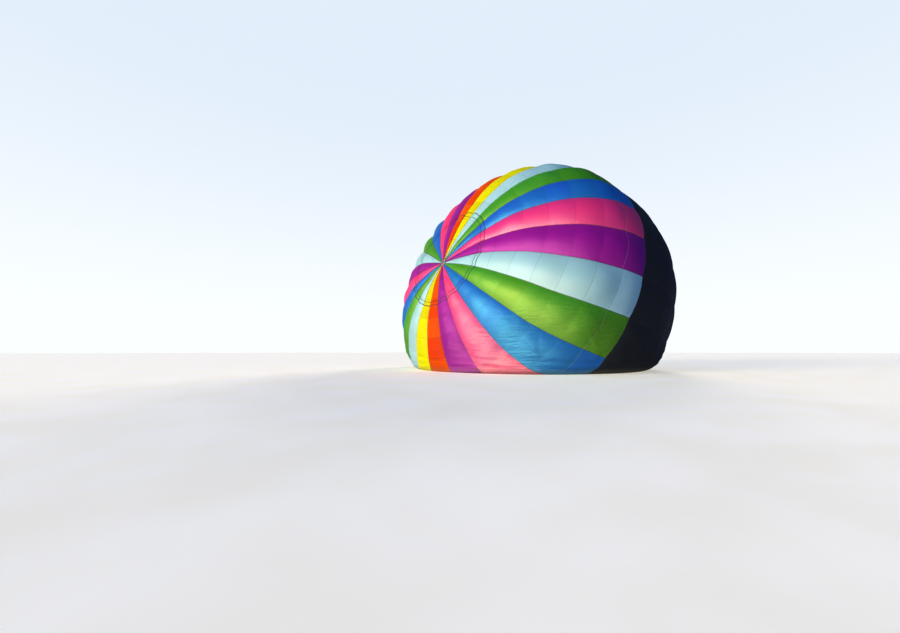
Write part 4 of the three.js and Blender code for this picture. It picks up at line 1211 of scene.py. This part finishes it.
# The load frame, the gimbal ring and the burner block, all round the frame's height
def make_load_frame():
    z, face = FRAME_HEIGHT, FRAME_TUBE / 2
    shapes = [bar_ring(*FRAME_HALF, 0.02, FRAME_TUBE)]
    for corner_x, corner_y in CORNERS.values():
        x, y = MIDDLE + corner_x * FRAME_HALF[0], corner_y * FRAME_HALF[1]
        shapes.append(lug(x, y, z + face - 0.002))
        shapes.append(block((x, y, z + face + 0.002), (0.072, 0.026, 0.006), 0.0025, 2))
    for side in (-1, 1):
        foot = side * (FRAME_HALF[1] - face + 0.001)
        tip = side * (GIMBAL_HALF[1] + GIMBAL_BAR / 2 + 0.04)
        shapes.append(boss((MIDDLE, tip, z), (MIDDLE, foot, z), 0.135))
        flange = [(0.022, 0), (0.032, 0), (0.032, 0.004), (0.022, 0.01)]
        shapes.append(turned((MIDDLE, side * (FRAME_HALF[1] - face + 0.0005), z), (0, -side, 0), flange))
        shapes.append(rod((MIDDLE, foot, z), (MIDDLE, side * (FRAME_HALF[1] + face + 0.004), z), 0.014))
    make_part("load_frame_tube", shapes, STEEL, "steel", "load_frame")


def make_gimbal():
    z = FRAME_HEIGHT
    shapes = [bar_ring(*GIMBAL_HALF, 0.013, GIMBAL_BAR)]
    for side in (-1, 1):
        pin_end = side * (FRAME_HALF[1] - FRAME_TUBE / 2 - 0.006)
        shapes.append(rod((MIDDLE, side * GIMBAL_HALF[1], z), (MIDDLE, pin_end, z), TRUNNION_RADIUS))
        foot = MIDDLE + side * (GIMBAL_HALF[0] - GIMBAL_BAR / 2 + 0.001)
        shapes.append(boss((MIDDLE + side * (BLOCK_SIZE[0] / 2 + 0.06), 0, z), (foot, 0, z), 0.12))
        shapes.append(rod((foot, 0, z), (MIDDLE + side * (GIMBAL_HALF[0] + 0.017), 0, z), 0.014))
    make_part("gimbal_tube", shapes, STEEL, "steel", "gimbal_ring", body="gimbal")


def make_burner_block():
    """The block that carries both cans, its fuel pipes underneath and a blast lever on each."""
    z = FRAME_HEIGHT
    over, under = z + BLOCK_HEIGHT / 2, z - BLOCK_HEIGHT / 2
    lever = under - 0.075
    pipe = [(0, 0), (0.018, 0), (0.02, 0.002), (0.02, 0.018), (0.026, 0.02), (0.034, 0.026)]
    pipe += [(0.034, 0.07), (0.03, 0.074), (0.03, 0.09), (0.034, 0.094), (0.034, 0.108), (0.0, 0.108)]
    nut = [(0, 0), (0.03, 0), (0.033, 0.003), (0.033, 0.015), (0, 0.015)]
    shapes = [block((MIDDLE, 0, z), (*BLOCK_SIZE, BLOCK_HEIGHT), 0.006, 3)]
    brass, grips, bolts = [], [], []
    for side in (-1, 1):
        pin_end = MIDDLE + side * (GIMBAL_HALF[0] - GIMBAL_BAR / 2 - 0.006)
        shapes.append(rod((MIDDLE, 0, z), (pin_end, 0, z), TRUNNION_RADIUS))
        y = side * CAN_SPACING
        brass.append(turned((MIDDLE, y, under - 0.11), (0, 0, 1), pipe))
        brass.append(turned((MIDDLE, y, under - 0.016), (0, 0, 1), nut, 6))
        grips.append(block((MIDDLE - 0.07, y, lever), (0.15, 0.026, 0.018), 0.006, 3))
        shapes.append(rod((MIDDLE - 0.04, y - 0.022, lever), (MIDDLE - 0.04, y + 0.022, lever), 0.005))
        for x, off in ((-1, -1), (-1, 1), (1, -1), (1, 1)):
            for height, way in ((over, 1.0), (under, -1.0)):
                place = (MIDDLE + x * BOLT_PLACE[0], y + off * BOLT_PLACE[1], height)
                bolts.append((place, (0, 0, way), (1.0, 0, 0)))
    make_part("burner_block_casting", shapes, STEEL, "steel", "burner_block", body="burner")
    make_part("burner_pipes", brass, BRASS, "steel", body="burner")
    make_part("blast_levers", grips, GRIP, "steel", body="burner")
    set_on(studs, "block_bolts", bolts, "steel", body="burner",
           Radius=0.007, Height=0.004, Sides=6, Surface=STEEL)


def arc(centre_radius, centre_height, size, start, end, count):
    turn = np.radians(np.linspace(start, end, count))
    return [(centre_radius + size * math.cos(t), centre_height + size * math.sin(t)) for t in turn]


def make_burners():
    """Stainless cans with a rolled edge and the coil inside that warms the fuel."""
    inner, pressed = CAN_RADIUS - CAN_WALL, CAN_RADIUS - 0.0025
    profile = [(0, 0), (0.06, 0), (0.06, 0.03), (0.075, 0.036), (CAN_RADIUS - 0.012, 0.05)]
    profile += [(CAN_RADIUS, 0.062), (CAN_RADIUS, 0.12), (pressed, 0.124), (pressed, 0.13)]
    profile += [(CAN_RADIUS, 0.134), (CAN_RADIUS, CAN_HEIGHT - 0.012)]
    profile += arc(CAN_RADIUS - 0.003, CAN_HEIGHT - 0.004, 0.004, -50, 230, 10)
    profile += [(inner, CAN_HEIGHT - 0.012), (inner, 0.066), (0.07, 0.042), (0, 0.036)]
    turn = np.linspace(0, COIL_TURNS * 2 * math.pi, COIL_TURNS * 40)
    height = 0.055 + COIL_TUBE + turn / (2 * math.pi) * COIL_PITCH
    coil = np.stack([COIL_RADIUS * np.cos(turn), COIL_RADIUS * np.sin(turn), height], axis=-1)
    ways = spokes(24)
    rivets = []
    for side, y in (("near", -CAN_SPACING), ("far", CAN_SPACING)):
        foot = np.array((MIDDLE, y, FRAME_HEIGHT + BLOCK_HEIGHT / 2 + CLEAR))
        shell = turned(foot, (0, 0, 1), profile, CAN_SEGMENTS)
        make_part(f"burner_shell_{side}", [shell], HEATED_STEEL, "steel", f"burner_can_{side}",
                  body="burner")
        source = path_source([(from_basket(coil + foot), (1, 0, 0), False)])
        grow(source, tube, f"burner_coil_{side}", "steel", body="burner",
             Radius=COIL_TUBE, Sides=14, Surface=HEATED_STEEL)
        for level in (0.09, CAN_HEIGHT - 0.03):
            rivets.append((foot + CAN_RADIUS * ways + (0, 0, level), ways, np.cross((0, 0, 1), ways)))
    set_on(studs, "burner_rivets", rivets, "steel", body="burner",
           Radius=0.004, Height=0.0025, Surface=STEEL)


# The basket
def make_floor_and_runners():
    inset = 2 * RIM_TUBE - 0.018
    outline, _ = round_rectangle(BASKET_WIDTH / 2 - inset, BASKET_LENGTH / 2 - inset, 0.03, 6)
    smaller = 1 - 2 * CHAMFER
    rings = [
        at_height(outline * size + (MIDDLE, 0), RUNNER_HEIGHT + height)
        for size, height in ((smaller, 0), (1, CHAMFER), (1, FLOOR_THICK - CHAMFER), (smaller, FLOOR_THICK))
    ]
    faces = ring_faces(len(rings), len(outline)) + end_faces(len(rings), len(outline))
    make_part("floor_board", [(np.concatenate(rings), faces)], PLYWOOD, "plywood", "basket_floor")
    for name in ("runner_lower", "runner_upper"):
        low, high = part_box(name)
        size = (high[2] - low[2], high[1] - low[1], high[0] - low[0])
        centre = ((low[2] + high[2]) / 2, (low[1] + high[1]) / 2 - BASKET_Y, RUNNER_HEIGHT / 2)
        make_part(name.replace("runner", "skid"), [block(centre, size, 0.008, 3)], HARDWOOD, "plywood",
                  name)


def wall_place(side, run, off=0.0):
    """Places and ways out along one wall's line and half of each corner, run being 0 at its middle."""
    out, way = np.array(WALLS[side][0], float), np.array(WALLS[side][1], float)
    straight, deep = HALF_PLAN @ np.abs(way), HALF_PLAN @ np.abs(out)
    turn = np.maximum(0, np.abs(run) - straight) / WALL_BEND
    normal = np.cos(turn)[:, None] * out + (np.sin(turn) * np.sign(run))[:, None] * way
    base = deep * out + np.clip(run, -straight, straight)[:, None] * way
    place = base + normal * (WALL_BEND + np.broadcast_to(off, run.shape))[:, None]
    return place + (MIDDLE, 0), normal


def wall_reach(side):
    """Half of the length of a wall's line, out to the middles of its corners."""
    return HALF_PLAN @ np.abs(WALLS[side][1]) + WALL_BEND * math.pi / 4


def cane_rows(side, first_stake):
    """The canes of one wall, which pass its stakes by turns outside and inside, cut at the step holes."""
    _, _, stakes, holes = WALLS[side]
    reach = wall_reach(side)
    step = 2 * reach / stakes
    stake = np.arange(stakes)
    at_stake = -reach + (stake + 0.5) * step
    beside = at_stake[:, None] + np.array((-1, 1)) * CANE_REST * step
    knots = np.concatenate([[-reach], beside.ravel(), [reach]])
    rows = int((WALL_TOP - WALL_FOOT - 2 * CANE_RADIUS) / CANE_PITCH)
    lines, tones = [], []
    draw = np.random.default_rng(first_stake + 5)
    for row in range(rows + 1):
        height = WALL_FOOT + CANE_RADIUS + row * CANE_PITCH
        swing = np.where((row + first_stake + stake) % 2, 1, -1) * CANE_SWING
        offs = np.concatenate([[0], np.repeat(swing, 2), [0]])
        cuts = [-reach]
        if abs(height - STEP_HEIGHT) < STEP_SIZE[1] / 2:
            for hole in holes:
                cuts += [hole - STEP_SIZE[0] / 2, hole + STEP_SIZE[0] / 2]
        cuts.append(reach)
        tone = draw.random()
        for start, end in zip(cuts[::2], cuts[1::2]):
            inside = knots[(knots > start + CUT_CLEAR) & (knots < end - CUT_CLEAR)]
            run = np.concatenate([[start], inside, [end]])
            place, normal = wall_place(side, run, np.interp(run, knots, offs))
            lines.append(basket_path(at_height(place, height), at_height(normal, 0)))
            tones.append(np.full(len(run), tone))
    return lines, np.concatenate(tones), at_stake


def stake_lines(side, at_stake):
    lines = []
    for run in at_stake:
        place, normal = wall_place(side, np.array([run]))
        ends = [WALL_FOOT - STAKE_PAST, WALL_TOP + STAKE_PAST]
        if any(abs(run - hole) < STEP_SIZE[0] / 2 for hole in WALLS[side][3]):
            ends[1:1] = [STEP_HEIGHT - STEP_SIZE[1] / 2, STEP_HEIGHT + STEP_SIZE[1] / 2]
        for low, high in zip(ends[::2], ends[1::2]):
            line = np.concatenate([at_height(place, low), at_height(place, high)])
            lines.append(basket_path(line, at_height(normal, 0)))
    return lines


def make_wicker():
    first = 0
    for side, (_, _, stakes, _) in WALLS.items():
        lines, tones, at_stake = cane_rows(side, first)
        source = path_source(lines)
        give(source, "tone", tones)
        grow(source, tube, f"wicker_canes_{side}", "wicker", f"wicker_wall_{side}",
             Radius=CANE_RADIUS, Sides=5, Surface=WICKER)
        grow(path_source(stake_lines(side, at_stake)), tube, f"wicker_stakes_{side}", "wicker",
             Radius=STAKE_RADIUS, Sides=6, Surface=WICKER)
        first += stakes


def make_step_bindings():
    """Hide sewn round the edges of the step holes."""
    across, up = (np.sign(part) * np.abs(part) ** BINDING_SQUARE for part in circle(40))
    paths = []
    for side, (_, _, _, holes) in WALLS.items():
        for hole in holes:
            place, _ = wall_place(side, hole + (STEP_SIZE[0] / 2 - BINDING_INSET) * across)
            line = at_height(place, STEP_HEIGHT + (STEP_SIZE[1] / 2 - BINDING_INSET) * up)
            paths.append(basket_path(line, unit(line - line.mean(axis=0)), True))
    grow(path_source(paths), tape, "step_hole_bindings", "leather",
         Width=0.042, Thickness=0.006, Surface=HIDE)


def pinched(run, length, laces, depth):
    """Girth of a sleeve that its laces draw in."""
    return 1 - depth * np.abs(np.cos(math.pi * run / length * laces)) ** 8


def laced_loop(name, height, surface, node, seam_way):
    """A sleeve round the basket, with the places for its laces on a seam that faces out and up or down."""
    places, ways = [], []
    for side in WALLS:
        reach = wall_reach(side)
        run = np.linspace(-reach, reach, int(2 * reach / LOOP_STEP), endpoint=False)
        place, normal = wall_place(side, run)
        places.append(at_height(place, height))
        ways.append(at_height(normal, 0.0))
    places, ways = np.concatenate(places), np.concatenate(ways)
    lengths = np.linalg.norm(np.diff(places, axis=0, append=places[:1]), axis=1)
    run, total = np.cumsum(lengths) - lengths, lengths.sum()
    laces = round(total / LACE_SPACING)
    source = path_source([basket_path(places, ways, True)])
    give(source, "girth", pinched(run, total, laces, 0.05))
    piece = grow(source, sleeve, name, "leather", node, Radius=RIM_TUBE, Surface=surface)
    at_lace = np.clip(np.searchsorted(run, np.arange(laces) * total / laces), 0, len(places) - 1)
    outs = ways[at_lace]
    facing = outs * math.sin(SEAM_TURN) + np.array((0, 0, seam_way)) * math.cos(SEAM_TURN)
    return piece, (places[at_lace] + facing * LACE_LIFT * RIM_TUBE, facing, np.cross((0, 0, 1.0), outs))


def make_rim_and_base():
    rim, rim_row = laced_loop("rim_padding", BASKET_HEIGHT - RIM_TUBE, SUEDE, "padded_rim", -1.0)
    _, base_row = laced_loop("base_hide", RUNNER_HEIGHT + RIM_TUBE, HIDE, "base_edge", 1.0)
    set_on(lacing, "edge_lacing", [rim_row, base_row], "leather",
           Length=0.034, Radius=0.0026, Surface=LACE)


def make_uprights():
    """Padded sleeves over the poles, each closed by a row of laces on its inner side."""
    rows = []
    for name, (x, y) in CORNERS.items():
        foot_y = y * (BASKET_LENGTH / 2 - RIM_TUBE - 0.09)
        foot = np.array((MIDDLE + x * (MIDDLE - RIM_TUBE - 0.002), foot_y, BASKET_HEIGHT))
        top = np.array((MIDDLE + x * FRAME_HALF[0], y * FRAME_HALF[1], FRAME_HEIGHT - FRAME_TUBE / 2))
        way, length = unit(top - foot), np.linalg.norm(top - foot)
        run = np.linspace(0.003, length - 0.004, 90)
        taper = 0.82 + 0.18 * smooth_step(np.minimum(run, length - run), 0, 0.03)
        inward = np.array((-x, -y, 0.0)) / math.sqrt(2)
        source = path_source([basket_path(foot + run[:, None] * way, inward)])
        give(source, "girth", taper * pinched(run, length, UPRIGHT_LACES, 0.07))
        piece = grow(source, sleeve, f"upright_sleeve_{name}", "leather", f"upright_{name}",
                     Radius=UPRIGHT_SLEEVE, Surface=SUEDE)
        places = foot + (np.arange(1, UPRIGHT_LACES) / UPRIGHT_LACES * length)[:, None] * way
        outs, ways = (np.broadcast_to(part, places.shape) for part in (inward, way))
        rows.append((places + inward * (UPRIGHT_SLEEVE - 0.0015), outs, ways))
    set_on(lacing, "upright_lacing", rows, "leather", Length=0.026, Radius=0.002, Surface=LACE)


def make_tanks():
    """Fuel tanks, each with a foot ring, a weld round its middle, a guard collar and two leather straps."""
    top = TANK_HEIGHT - 0.09
    profile = [(0, 0.04), (0.11, 0.04), (0.11, 0), (0.118, 0), (0.118, 0.042)]
    profile += arc(TANK_RADIUS - 0.08, 0.13, 0.08, -70, 0, 9)
    profile += [(TANK_RADIUS, 0.41), (TANK_RADIUS + 0.0008, 0.413), (TANK_RADIUS + 0.0008, 0.419)]
    profile += [(TANK_RADIUS, 0.422)]
    profile += arc(TANK_RADIUS - 0.08, top - 0.08, 0.08, 0, 80, 9)
    profile += [(0.1, top + 0.002), (0.1, TANK_HEIGHT)]
    profile += [(0.096, TANK_HEIGHT + 0.001), (0.092, TANK_HEIGHT), (0.092, top + 0.004)]
    profile += [(0.03, top + 0.012), (0.03, top + 0.03), (0.016, top + 0.034), (0.016, top + 0.062)]
    profile += [(0.026, top + 0.064), (0.026, top + 0.074), (0, top + 0.076)]
    off_wall = TANK_RADIUS + TANK_CLEAR
    ring = spokes(64)
    straps, buckles = [], []
    for name, x, side in (
        ("lower_near", off_wall, -1), ("lower_far", off_wall, 1), ("upper_far", BASKET_WIDTH - off_wall, 1),
    ):
        foot = np.array((x, side * (BASKET_LENGTH / 2 - off_wall), RUNNER_HEIGHT + FLOOR_THICK + CLEAR))
        make_part(f"tank_{name}", [turned(foot, (0, 0, 1), profile, CAN_SEGMENTS)], ALUMINIUM, "tank",
                  f"fuel_tank_{name}")
        inward = unit(np.array((MIDDLE - x, -foot[1], 0.0)))
        for level in STRAP_LEVELS:
            middle = foot + (0, 0, level)
            straps.append(basket_path(ring * (TANK_RADIUS + 0.0022) + middle, ring, True))
            buckles.append((middle + inward * (TANK_RADIUS + 0.004), inward, (0, 0, 1.0)))
    grow(path_source(straps), tape, "tank_straps", "leather", Width=0.04, Thickness=0.004, Surface=SUEDE)
    set_on(studs, "strap_buckles", buckles, "steel", Radius=0.026, Height=0.004, Sides=4, Surface=STEEL)


make_crown_ring()
make_mouth_ring()
make_flying_wires()
make_load_frame()
make_gimbal()
make_burner_block()
make_burners()
make_floor_and_runners()
make_wicker()
make_step_bindings()
make_rim_and_base()
make_uprights()
make_tanks()


# Floor, backdrop and light
def make_stage():
    corners = [(x * FLOOR_REACH, y * FLOOR_REACH, -0.004) for x, y in ((-1, -1), (1, -1), (1, 1), (-1, 1))]
    floor = mesh_piece("floor", corners, [(0, 1, 2, 3)])
    surface, tree = new_material("pale floor")
    shade = tree.mix(tree.ramp(tree.noise(tree.place(), 0.6, 4.0), 0.3, 0.7), "e6dfcc", "ece6d6")
    from_camera = tree.add("ShaderNodeLightPath")["Is Camera Ray"]
    x, y, _ = tree.split(tree.place())
    # Painted light: for every ray but the camera's the floor glows, brightest on the left and fading to the
    # right, a painted pool of sunlit ground.
    unseen = tree.ramp(x + y * 0.3, -16.0, 3.0, 0.3, 0.02)
    # Painted shade and light: the colour the floor bounces to other rays is dark blue away from the basket
    # and pale near it.
    painted_bounce_colour = tree.mix(tree.ramp(x, 7.5, 10.5), "28507c", "d0c8b8")
    shader = tree.add(
        "ShaderNodeBsdfPrincipled", Base_Color=tree.mix(from_camera, painted_bounce_colour, shade), Roughness=0.9,
        Emission_Color=shade, Emission_Strength=tree.math("MAXIMUM", from_camera * 0.5, unseen),
    )
    tree.add("ShaderNodeOutputMaterial", shader)
    surface.cycles.emission_sampling = "NONE"
    dress(floor, surface)


def add_sun(name, way, strength, code, spread, sheen=False):
    """A distant light. A sheen only shows as a soft reflection on the cloth, and casts no shadow."""
    data = bpy.data.lights.new(name, "SUN")
    data.energy = strength
    data.color = colour(code)[:3]
    data.angle = math.radians(spread)
    data.use_shadow = not sheen
    lamp = link(bpy.data.objects.new(name, data))
    lamp.rotation_euler = Vector(way).to_track_quat("Z", "Y").to_euler()
    lamp.visible_diffuse = not sheen
    lamp.visible_transmission = not sheen
    lamp.visible_glossy = sheen


def make_sky():
    """A pale backdrop for the camera, blue light from all sides and what shiny cloth mirrors."""
    world = bpy.data.worlds.new("studio sky")
    bpy.context.scene.world = world
    world.use_nodes = True
    tree = Tree(world.node_tree)
    ahead, side, up = tree.split(tree.add("ShaderNodeTexCoord")["Generated"])
    height = tree.ramp(up, 0.0, 0.6)
    path = tree.add("ShaderNodeLightPath")
    blue_part = tree.ramp(ahead, 0.0, 0.4) * tree.ramp(side, 0.4, 0.7, 1.0, 0.0)
    fill, mirrored, plain = (
        tree.add("ShaderNodeBackground", tree.mix(share, low, high), strength)
        for share, low, high, strength in (
            (height, "309cf0", "2f86e8", 0.45), (blue_part, "c6c9cc", "3a5c90", 0.6),
            (height, "e9edf0", "d3dde8", 1.0),
        )
    )
    unseen = tree.add("ShaderNodeMixShader", path["Is Glossy Ray"], fill, mirrored)
    tree.add("ShaderNodeOutputWorld", tree.add("ShaderNodeMixShader", path["Is Camera Ray"], unseen, plain))


make_stage()
make_sky()
add_sun("key from the low left", (-0.98, 0.12, 0.07), 5.0, "ffeed6", 32)
add_sun("bright ground", (-0.88, -0.08, -0.26), 8.5, "fffaf0", 84, True)
add_sun("rim from behind the basket", (0.8, 0.45, 0.5), 1.6, "fff2e2", 20)
bpy.context.scene.view_settings.view_transform = "Standard"
bpy.context.scene.view_settings.look = "Medium High Contrast"
